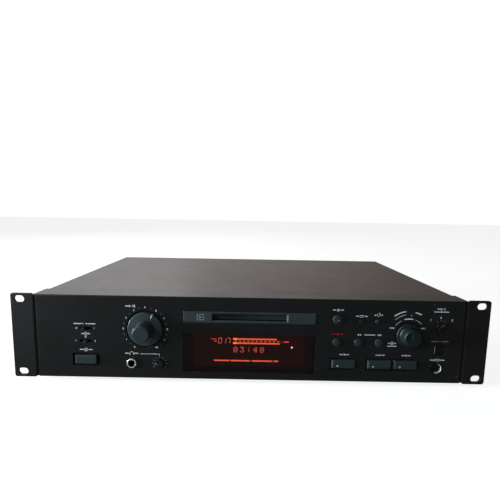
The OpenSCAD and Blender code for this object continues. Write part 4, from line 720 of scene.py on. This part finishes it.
# %% From geometry tree to finished piece
def grown(name, tree, body, count, wide, high, material, **values):
    """Runs a geometry tree with the given inputs and keeps the result as a plain piece."""
    values.update(Count=count, Block=Vector((wide, INK + SUNK, high)) * MM,
                  Material=finish[material])
    made = placed_object(name, bpy.data.meshes.new(name))
    modifier = made.modifiers.new("grow", "NODES")
    modifier.node_group = tree
    for socket in tree.interface.items_tree:
        if socket.in_out == "INPUT" and socket.name in values:
            modifier[socket.identifier] = values[socket.name]
    graph = bpy.context.evaluated_depsgraph_get()
    result_mesh = bpy.data.meshes.new_from_object(made.evaluated_get(graph), depsgraph=graph)
    made.modifiers.clear()
    made.data = result_mesh
    result_mesh.name = name
    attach(made, body)
    print(name, "faces", len(result_mesh.polygons))


def ring(name, centre, radius, first, step, count, wide, high):
    """Marks round a centre on the fascia; angles in degrees, sizes in millimetres."""
    grown(name, ring_marks, "deck", count, wide, high, "dim_print",
          Centre=on_front(*centre, (INK - SUNK) / 2), First=math.radians(first),
          Step=math.radians(step), Radius=radius * MM)


LEVEL_SCALE_R = 22.3
level = place_of("outer_level_knob")
phones = place_of("phones_knob")
selector = place_of("selector_knob")
jog = place_of("jog_knob")
ring("print_level_marks", level, LEVEL_SCALE_R, -135, 30, 10, 0.55, 1.1)
ring("print_phones_marks", phones, 6.8, -120, 30, 9, 0.5, 1.5)
ring("print_selector_marks", selector, 7.4, -30, 30, 3, 0.5, 1.3)

# %% [markdown]
# ## Numbers
# The dial's numbers are a plain sans face. A text object gives the outlines, it is made a mesh
# while it still lies flat, and only then turned upright and put in its place.


# %% Numbers
def write(mesh, text, x, z, size, spot_on=on_front, turn=0):
    """A number in plain figures, centred on a place and turned to face out, in a bmesh."""
    curve = bpy.data.curves.new("figures", "FONT")
    curve.body = text
    curve.size = size * MM
    curve.offset = 0.035 * size * MM
    curve.align_x = curve.align_y = "CENTER"
    curve.extrude = (INK + SUNK) / 2 * MM
    curve.resolution_u = 3
    holder = placed_object("figures", curve)
    graph = bpy.context.evaluated_depsgraph_get()
    flat = bpy.data.meshes.new_from_object(holder.evaluated_get(graph))
    upright = Matrix.Rotation(math.radians(turn), 4, "Z") @ Matrix.Rotation(math.pi / 2, 4, "X")
    flat.transform(Matrix.Translation(spot_on(x, z, (INK - SUNK) / 2)) @ upright)
    mesh.from_mesh(flat)
    bpy.data.objects.remove(holder)
    bpy.data.curves.remove(curve)
    bpy.data.meshes.remove(flat)


figures = bmesh.new()
for number in range(11):
    write(figures, str(number), *around(level, LEVEL_SCALE_R, -150 + 30 * number), 2.6)
SWITCH_NUMBERS = (("1", 181.8, 67.4), ("2", 192.0, 70.2), ("3", 203.4, 67.4),
                  ("0", -176.2, 52.6), ("1", -158.2, 52.6),
                  ("1", -177.2, 39.2), ("0", -167.2, 43.6), ("2", -157.6, 39.2))
for number, x, z in SWITCH_NUMBERS:
    write(figures, number, x, z, 2.8)
piece("print_numbers", figures, "white_print")

# %% [markdown]
# ## Signs beside the controls
# Beside the controls are the signs that such equipment carries everywhere: a stroke in a ring
# for power, a triangle for play, a square for stop, two bars for pause and a dot for record.
# Each sign stands between two short rules, which give it the width of its control, so that the
# front has an even rhythm.

# %% Signs
RULE = 0.9
FINE = 0.45


def rules(mesh, x, z, wide, gap):
    """Two short rules on either side of a sign, wide across in all."""
    run = (wide - gap) / 2
    for way in (-1, 1):
        bar(mesh, x + way * (gap + run) / 2, z, run, RULE)


def key_sign(mesh, key, x, z, square, point, step, stroke, out=0.0):
    """A square on the stop key, a triangle on the play key, two bars on the key for pause."""
    if key == "stop":
        bar(mesh, x, z, square, square, out)
    elif key == "play":
        triangle(mesh, x, z, point, "right", out)
    else:
        for way in (-step, step):
            bar(mesh, x + way, z, *stroke, out)


signs = bmesh.new()

# %% Signs of the left half
POWER_X, POWER_Z = place_of("power_button")[0], 30.2
TIMER_X, TIMER_Z = -166.9, 47.0
PITCH_X, PITCH_Z = -167.8, 57.4
INPUT_X, INPUT_Z = -120.6, 76.6
PHONES_SIGN_Z = 26.8
LEADER_X = -112.0

arc(signs, POWER_X, POWER_Z, 1.6, 0.6, 35, 325)
rules(signs, POWER_X, POWER_Z, 13.0, 5.4)
arc(signs, TIMER_X, TIMER_Z, 1.5, FINE, 0, 360)
rules(signs, TIMER_X, TIMER_Z, 8.8, 4.4)
rules(signs, PITCH_X, PITCH_Z, 22.0, 6.0)
triangle(signs, PITCH_X - 2.0, PITCH_Z, 1.7, "left")
triangle(signs, PITCH_X + 2.0, PITCH_Z, 1.7, "right")
triangle(signs, INPUT_X - 0.4, INPUT_Z, 2.5, "right")
arc(signs, INPUT_X, PHONES_SIGN_Z, 1.9, 0.6, -90, 90)
rules(signs, INPUT_X, PHONES_SIGN_Z + 0.2, 13.6, 6.0)
for x, z, wide, high in (
        (POWER_X, POWER_Z + 0.9, 0.6, 2.2),
        (TIMER_X, TIMER_Z + 0.5, 0.4, 1.2),
        (TIMER_X + 0.45, TIMER_Z - 0.1, 0.9, 0.4),
        (INPUT_X - 3.4, INPUT_Z, 4.4, RULE),
        (INPUT_X + 2.4, INPUT_Z, 0.9, 2.6),
        (INPUT_X + 3.9, INPUT_Z, 0.9, 2.6),
        (INPUT_X - 1.9, PHONES_SIGN_Z - 0.5, 1.0, 1.7),
        (INPUT_X + 1.9, PHONES_SIGN_Z - 0.5, 1.0, 1.7),
        ((phones[0] + LEADER_X) / 2, 26.6, phones[0] - LEADER_X, FINE),
        (phones[0], 25.9, FINE, 1.4)):
    bar(signs, x, z, wide, high)
print("sign faces", len(signs.faces))

# %% Signs of the keys on the right
EJECT_X = place_of("eject_button")[0] + 0.4
DISPLAY_X, DISPLAY_Z = place_of("display_button")[0], 70.2
MODE_X = place_of("play_mode_button")[0] + 1.0
SEARCH_X, SEARCH_Z = 121.1, 50.8
LONG_KEYS_Z = 29.6

triangle(signs, EJECT_X, 76.9, 2.2, "up")
bar(signs, EJECT_X, 75.2, 2.4, 0.5)
rules(signs, EJECT_X, 76.3, 11.0, 4.4)
rectangle(signs, DISPLAY_X, DISPLAY_Z, (1.7, 0.4, 2.0), (0.9, 3.4, 0.4))
rules(signs, DISPLAY_X + 0.3, DISPLAY_Z, 11.8, 5.6)
arc(signs, MODE_X, 71.9, 1.5, FINE, 30, 320)
triangle(signs, MODE_X + 1.0, 73.5, 1.4, "right")
rules(signs, MODE_X, 71.6, 8.6, 4.8)
for step in (-1.1, 1.1):
    triangle(signs, SEARCH_X - 10.5 + step, SEARCH_Z, 2.0, "left")
    triangle(signs, SEARCH_X + 10.5 + step, SEARCH_Z, 2.0, "right")
bar(signs, SEARCH_X, SEARCH_Z, 11.2, RULE)
for key in ("stop", "play", "ready"):
    key_x = place_of(key + "_button")[0] + 0.3
    rules(signs, key_x, LONG_KEYS_Z, 9.4, 3.4)
    key_sign(signs, key, key_x, LONG_KEYS_Z, 1.7, 2.0, 0.6, (0.6, 1.8))
print("sign faces", len(signs.faces))

# %% Arcs and signs round the jog knob
DOT_X, DOT_Z = 144.4, 42.4
JOG_ARCS = ((17.0, 0.4, -55, -28), (17.0, 0.4, 20, 47), (21.6, 0.4, -42, -11),
            (25.0, 1.1, -38, -10), (24.4, 1.1, 13, 29), (17.0, 1.2, -18, 12))

for radius, wide, start, end in JOG_ARCS:
    arc(signs, *jog, radius, wide, start, end)
bar(signs, jog[0] + 1.4, jog[1] + 20.6, 0.4, 1.9)
for x, z, way, stop_x in ((142.9, 58.5, "left", 141.4), (173.3, 58.6, "right", 176.7)):
    for step in (0.0, 1.9):
        triangle(signs, x + step, z, 1.9, way)
    bar(signs, stop_x, z, 0.5, 2.0)
arc(signs, DOT_X, DOT_Z, 1.4, 0.5, 0, 360)
disc(signs, DOT_X, DOT_Z, 0.6)
rules(signs, DOT_X, DOT_Z, 8.6, 4.2)
bar(signs, DOT_X, DOT_Z - 3.0, 9.4, RULE)
print("sign faces", len(signs.faces))

# %% Signs of the selector and the keyboard jack
SELECTOR_Z = 79.0
keyboard = place_of("keyboard_jack")
KEYBOARD_Z = 25.4

bar(signs, 189.6, SELECTOR_Z, 4.0, RULE)
triangle(signs, 192.4, SELECTOR_Z, 2.3, "right")
bar(signs, 195.0, SELECTOR_Z, 0.8, 2.4)
bar(signs, 192.1, SELECTOR_Z - 3.0, 15.0, RULE)
rectangle(signs, keyboard[0], KEYBOARD_Z, (2.3, 0.4, 2.2), (0.95, 4.6, 0.4))
for step in (-1.2, 0.0, 1.2):
    bar(signs, keyboard[0] + step, KEYBOARD_Z, FINE, FINE)
rules(signs, keyboard[0] + 0.2, KEYBOARD_Z, 15.0, 6.2)
piece("print_signs", signs, "white_print")

# %% The dimmer and the red signs
OPTICAL_SIGN_Z = 45.2
RECORD_X, RECORD_Z = 89.0, 51.0

faint = bmesh.new()
rules(faint, 192.6, OPTICAL_SIGN_Z, 17.6, 4.4)
bar(faint, 192.1, OPTICAL_SIGN_Z, 1.4, FINE)
triangle(faint, 193.4, OPTICAL_SIGN_Z, 1.5, "right")
# Two small pale grey squares, one near the fascia's lower right corner and one near its upper
# right.
bar(faint, 212.8, 8.0, 0.7, 0.7)
bar(faint, 184.7, 83.9, 0.7, 0.7)
piece("print_faint_signs", faint, "dim_print")
red = bmesh.new()
disc(red, RECORD_X, RECORD_Z, 1.35)
rules(red, RECORD_X, RECORD_Z, 13.0, 4.4)
piece("print_record_sign", red, "red_print")

# %% [markdown]
# ## Marks on the keys and pointers on the knobs
# The three long keys carry small signs near their left ends, and each knob has a line of white
# paint in a shallow groove. These move with their key or knob, so each is a piece of its own
# that rides on that body, and its place comes from the knob's own box.

# %% Signs on the long keys
for key, along, up in (("stop", -6.3, -1.5), ("play", -6.3, -1.7), ("ready", -6.0, -1.7)):
    name = key + "_button"
    key_x, key_z = place_of(name)
    on_key = bmesh.new()
    key_sign(on_key, key, key_x + along, key_z + up, 1.5, 1.8, 0.55, (0.5, 1.6), proud_of(name))
    piece(key + "_sign", on_key, "white_print", name)


# %% Pointers of the knobs
def pointer(name, centre, turn, bars, material, knob):
    """Bars along a knob's radius: middle, width, length, distance out and height of each."""
    made = bmesh.new()
    for middle, wide, long, out, ink in bars:
        bar(made, *around(centre, middle, turn), wide, long, out, turn, ink)
    piece(name, made, material, knob)


outer_r = (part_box("outer_level_knob")[1].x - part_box("outer_level_knob")[0].x) / 2 / MM
outer_out = proud_of("outer_level_knob")
inner_out = proud_of("inner_level_knob")
pointer("outer_pointer", level, 27,
        ((outer_r * 0.86, 0.8, outer_r * 0.2, outer_out - 0.64, 0.24),
         (outer_r - 0.15, 0.8, 0.5, outer_out - 2.4, 1.7)), "bright_print", "outer_level_knob")
pointer("inner_pointer", level, -48,
        ((7.6, 0.5, 1.0, inner_out - 0.28, 0.2), (8.65, 0.5, 1.2, inner_out - 8.6, 8.4)),
        "white_print", "inner_level_knob")
for name, centre, turn in (("phones", phones, -90), ("selector", selector, 30)):
    small_out = proud_of(name + "_knob")
    pointer(name + "_pointer", centre, turn, ((3.0, 0.55, 2.8, small_out - 0.29, 0.18),),
            "dim_print", name + "_knob")

# %% [markdown]
# ## The lit display
# A fluorescent display has fixed shapes of phosphor that light up by turns: seven-part figures,
# dotted letters, and rows of small blocks for the level meters. Rows of blocks are again a job
# for Geometry Nodes. The values shown here are plain numbers of this scene's own.

# %% Geometry tree for a row of blocks
block_row, given, result = geometry_tree("block_row", [("Start", VECTOR), ("Pitch", NUMBER)])
index = add(block_row, "GeometryNodeInputIndex").outputs[0]
along = math_node(block_row, "MULTIPLY", index, given["Pitch"])
offset = add(block_row, "ShaderNodeCombineXYZ", {0: along}).outputs[0]
spot = add(block_row, "ShaderNodeVectorMath", {0: offset, 1: given["Start"]}).outputs[0]
set_out_blocks(block_row, given, result, spot)

# %% Rows of the level meters and of the lower line
TUBE_OUT = proud_of("display_tube")


def on_tube(x, z):
    """A place in millimetres from the middle of the tube, as a place on the front."""
    middle_x, middle_z = place_of("display_tube")
    return middle_x + x, middle_z + z


def row(name, start, end, z, high, count, fill, material):
    """Blocks between two places across the tube, in millimetres from its middle."""
    pitch = (end - start) / count
    first = on_front(*on_tube(start + pitch / 2, z), TUBE_OUT + (INK - SUNK) / 2)
    grown(name, block_row, "deck", count, pitch * fill, high, material,
          Start=first, Pitch=pitch * MM)


UPPER_Z, LOWER_Z = 12.2, 7.7
row("lit_upper_first", -16.9, -12.4, UPPER_Z, 1.9, 3, 0.86, "first_light")
row("lit_lower_first", -16.9, -12.4, LOWER_Z, 1.9, 3, 0.86, "first_light")
row("lit_upper_meter", -12.4, 28.6, UPPER_Z, 1.6, 27, 0.86, "bar_light")
row("lit_lower_meter", -12.4, 31.6, LOWER_Z, 1.6, 29, 0.86, "bar_light")
row("lit_meter_scale", -16.4, 32.4, 9.9, 1.7, 11, 0.46, "dim_light")
LOWER_ROWS = ((-36.7, -20.5, 9), (-19.2, 1.1, 11), (2.8, 24.3, 12), (25.7, 30.5, 3))
for number, (start, end, count) in enumerate(LOWER_ROWS):
    row(f"lit_lower_row_{number + 1}", start, end, -11.4, 1.5, count, 0.84, "bar_light")

# %% Seven-part figures
PARTS = {"0": "abcdef", "1": "bc", "7": "abc"}
MIDDLES = {"a": (0, 0.5, 0), "d": (0, -0.5, 0), "f": (-0.5, 0.25, 1), "b": (0.5, 0.25, 1),
           "e": (-0.5, -0.25, 1), "c": (0.5, -0.25, 1)}
TRACK_Z = 10.2
HIGH = 6.4
WIDE = HIGH * 0.5
THICK = HIGH * 0.09
SLANT = 0.12
track = bmesh.new()
for place_x, figure in ((-30.4, "0"), (-26.0, "1"), (-21.6, "7")):
    for part in PARTS[figure]:
        across, up, standing = MIDDLES[part]
        x = place_x + across * WIDE + up * HIGH * SLANT
        long = HIGH * 0.36 if standing else WIDE * 0.72
        turn = math.degrees(math.atan(SLANT)) if standing else 90
        bar(track, *on_tube(x, TRACK_Z + up * (HIGH - THICK)), THICK, long, TUBE_OUT, turn)
piece("lit_track_figures", track, "figure_light")

# %% Dotted figures
DOTS = {"0": (14, 17, 19, 21, 25, 17, 14), "3": (31, 2, 4, 2, 1, 17, 14),
        "4": (2, 6, 10, 18, 31, 2, 2), "8": (14, 17, 17, 14, 17, 17, 14),
        ":": (0, 4, 4, 0, 4, 4, 0)}
DOT = 0.66
DOT_PITCH = 0.86
FIGURE_PITCH = 6.9
TIME_X, TIME_Z = -16.0, 3.3
dotted = bmesh.new()
for number, figure in enumerate("03:48"):
    for line, bits in enumerate(DOTS[figure]):
        for column in range(5):
            if bits & (16 >> column):
                x = TIME_X + FIGURE_PITCH * number + column * DOT_PITCH
                bar(dotted, *on_tube(x, TIME_Z - line * DOT_PITCH), DOT, DOT, TUBE_OUT)
piece("lit_time_figures", dotted, "figure_light")

# %% Small lit signs
dim_signs = bmesh.new()
bar(dim_signs, *on_tube(-37.0, 11.9), 5.4, 0.8, TUBE_OUT)
bar(dim_signs, *on_tube(-35.2, 9.6), 2.6, 1.2, TUBE_OUT)
disc(dim_signs, *on_tube(33.4, 9.2), 0.5, TUBE_OUT)
piece("lit_small_signs", dim_signs, "dim_light")
red_sign = bmesh.new()
bar(red_sign, *on_tube(38.6, 9.8), 5.4, 1.2, TUBE_OUT)
piece("lit_red_sign", red_sign, "red_light")
pale_sign = bmesh.new()
triangle(pale_sign, *on_tube(44.8, 4.0), 1.9, "right", TUBE_OUT)
piece("lit_pale_sign", pale_sign, "pale_light")

# %% [markdown]
# ## Small things on the front
# The left end of the slot's bezel carries a plain sign for putting a cartridge in. The right
# end of the slot has a painted highlight: a thin pale strip where light catches its edge, and
# the front optical jack has another on its left side. The phones jack has a thin rim of bare
# metal; of the keyboard jack's metal shell and rim only the right crescent is drawn, a painted
# highlight where light falls on it. Each optical jack has a small shutter that keeps dust out.

# %% Bezel sign and the painted highlight on the slot's edge
BEZEL_SIGN_X = -50.5
bezel_z = place_of("slot_bezel")[1]
bezel_out = proud_of("slot_bezel")
insert = bmesh.new()
rectangle(insert, BEZEL_SIGN_X, bezel_z, (3.1, 0.6, 6.2), (2.8, 5.6, 0.6), out=bezel_out)
triangle(insert, BEZEL_SIGN_X + 0.2, bezel_z, 3.0, "right", bezel_out)
piece("bezel_sign", insert, "dim_print")
# A thin pale strip is a painted highlight on the slot's right edge.
strip = bmesh.new()
bar(strip, 37.9, bezel_z, 0.45, 7.4, bezel_out)
piece("slot_painted_highlight", strip, "painted_edge_highlight")

# %% Metal rims of the jacks with a painted highlight crescent on the keyboard jack, and the pale dot on the eject key
NECK_OUT = 1.3
rims = bmesh.new()
arc(rims, *place_of("phones_nut"), 3.95, 0.42, 0, 360, NECK_OUT, 0.12, 48)
# On the keyboard jack only the right crescent of the shell wall and rim is drawn: a painted
# highlight where light falls on it.
arc(rims, *keyboard, 4.9, 0.5, 15, 200, 0.25, 0.0, 48, 7.5)
arc(rims, *keyboard, 4.9, 0.34, 40, 185, 0.25, 0.1, 48)
piece("jack_rims_and_highlight", rims, "nut_chrome")
eject_x, eject_z = place_of("eject_button")
eject_dot = bmesh.new()
disc(eject_dot, eject_x + 0.9, eject_z - 0.9, 0.8, proud_of("eject_button") - 0.1, 0.16)
piece("eject_dot", eject_dot, "dim_print", "eject_button")

# %% Shutters of the optical jacks, and a painted highlight beside the front one
SHUTTER = ((-3.9, -3.5), (3.9, -3.5), (3.9, 1.9), (2.3, 3.5), (-2.3, 3.5), (-3.9, 1.9))
# A thin pale bar is a painted highlight on the optical jack's left edge.
optical_painted_highlight = bmesh.new()
bar(optical_painted_highlight, 188.2, 36.4, 0.3, 8.6)
piece("optical_painted_highlight", optical_painted_highlight, "painted_edge_highlight")
shutters = bmesh.new()
for x, z, spot_on in ((193.4, 36.0, on_front), (-20.0, 11.2, on_rear), (-2.0, 11.2, on_rear)):
    plate(shutters, [(x + u, z + v) for u, v in SHUTTER], -1.6, 0.6, spot_on)
piece("optical_shutters", shutters, "shutter_plastic")

# %% [markdown]
# ## The back
# The photograph doesn't show the back, so it gets what decks of this kind have there: coloured
# washers that tell the two channels apart, numbers, arrows for the way a signal goes, a wave over
# the mains inlet, and a thin printed outline round each group of sockets.

# %% Washers, numbers and outlines on the back
WASHER = 0.42
LINE = 0.4
PHONO_Z = {"red": 17.6, "white": 31.6}
SOCKET_XS = (78, 112, 146, 180)
SOCKET_Z = 47
INLET_X, INLET_SIGN_Z = -175, 63
rear_print = bmesh.new()


def outline(left, right, low, high):
    """A thin printed frame on the rear panel."""
    wide, tall = right - left, high - low
    rectangle(rear_print, (left + right) / 2, (low + high) / 2, (wide / 2, LINE, tall - LINE),
              (tall / 2, wide + LINE, LINE), spot_on=on_rear)


def numbered(x, z, number, point):
    """A number and an arrow over a socket; up is a signal coming in."""
    write(rear_print, str(number), x + 4, z, 4.0, spot_on=on_rear, turn=180)
    triangle(rear_print, x - 3, z, 2.6, point, spot_on=on_rear)


washers = {"white": bmesh.new(), "red": bmesh.new()}
for number, (x, point) in enumerate(((-48, "up"), (14, "up"), (44, "down"))):
    for tone, z in PHONO_Z.items():
        arc(washers[tone], x, z, 5.2, 1.9, 0, 360, 0.0, WASHER, 40, spot_on=on_rear)
    outline(x - 8.4, x + 8.4, PHONO_Z["red"] - 8, PHONO_Z["white"] + 8)
    numbered(x, 43.4, number + 1, point)
for number, x in enumerate(SOCKET_XS):
    numbered(x, 67.4, number % 2 + 1, "up" if number < 2 else "down")
outline(61, 129, 27, 73)
outline(129, 197, 27, 73)
outline(-26.6, 4.6, 4.6, 17.8)
for way in (-1, 1):
    arc(rear_print, INLET_X + way * 1.3, INLET_SIGN_Z, 1.3, 0.5, way * 90, way * 90 + 180,
        spot_on=on_rear)
for tone, mesh in washers.items():
    piece("washers_" + tone, mesh, "jack_" + tone)

# %% [markdown]
# ### Inserts
# In the metal flange of a balanced input sits a round black insert with holes for three pins.
# Such a plate is easiest from its outlines: the circles are drawn as edges, the space between
# them is filled, and the sheet is raised to a plate.

# %% Black inserts of the balanced sockets
FLANGE = 2.0
INSERT_R = 8.4
PIN_R = 1.35
PIN_PLACES = ((-3.29, -1.9), (3.29, -1.9), (0.0, 3.8))


def insert_plate(mesh, x, z):
    """A round plate with pin holes on a socket's flange: its outlines are filled, then raised."""
    loops = [circle(x, z, INSERT_R, 48)]
    loops += [circle(x + across, z + up, PIN_R, 20) for across, up in PIN_PLACES]
    edges = []
    for loop in loops:
        corners = [mesh.verts.new(on_rear(*spot, FLANGE + 0.01)) for spot in loop]
        edges += [mesh.edges.new((corners[i - 1], corners[i])) for i in range(len(loop))]
    filled = bmesh.ops.triangle_fill(mesh, use_beauty=True, edges=edges)["geom"]
    faces = [part for part in filled if isinstance(part, bmesh.types.BMFace)]
    raised = bmesh.ops.extrude_face_region(mesh, geom=faces)["geom"]
    front = [part for part in raised if isinstance(part, bmesh.types.BMVert)]
    bmesh.ops.translate(mesh, verts=front, vec=(0, 0.35 * MM, 0))


inserts = bmesh.new()
for x in SOCKET_XS[:2]:
    insert_plate(inserts, x, SOCKET_Z)
    bar(inserts, x, SOCKET_Z + 11.6, 6.0, 2.6, FLANGE, ink=0.5, spot_on=on_rear)
piece("socket_inserts", inserts, "jack_plastic")
piece("print_rear", rear_print, "white_print")

# %% [markdown]
# ## The sizes
# The finished deck must not be larger than its CAD model, so the box of everything shown,
# leaving out the floor, is measured here.

# %% Sizes
low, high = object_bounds()
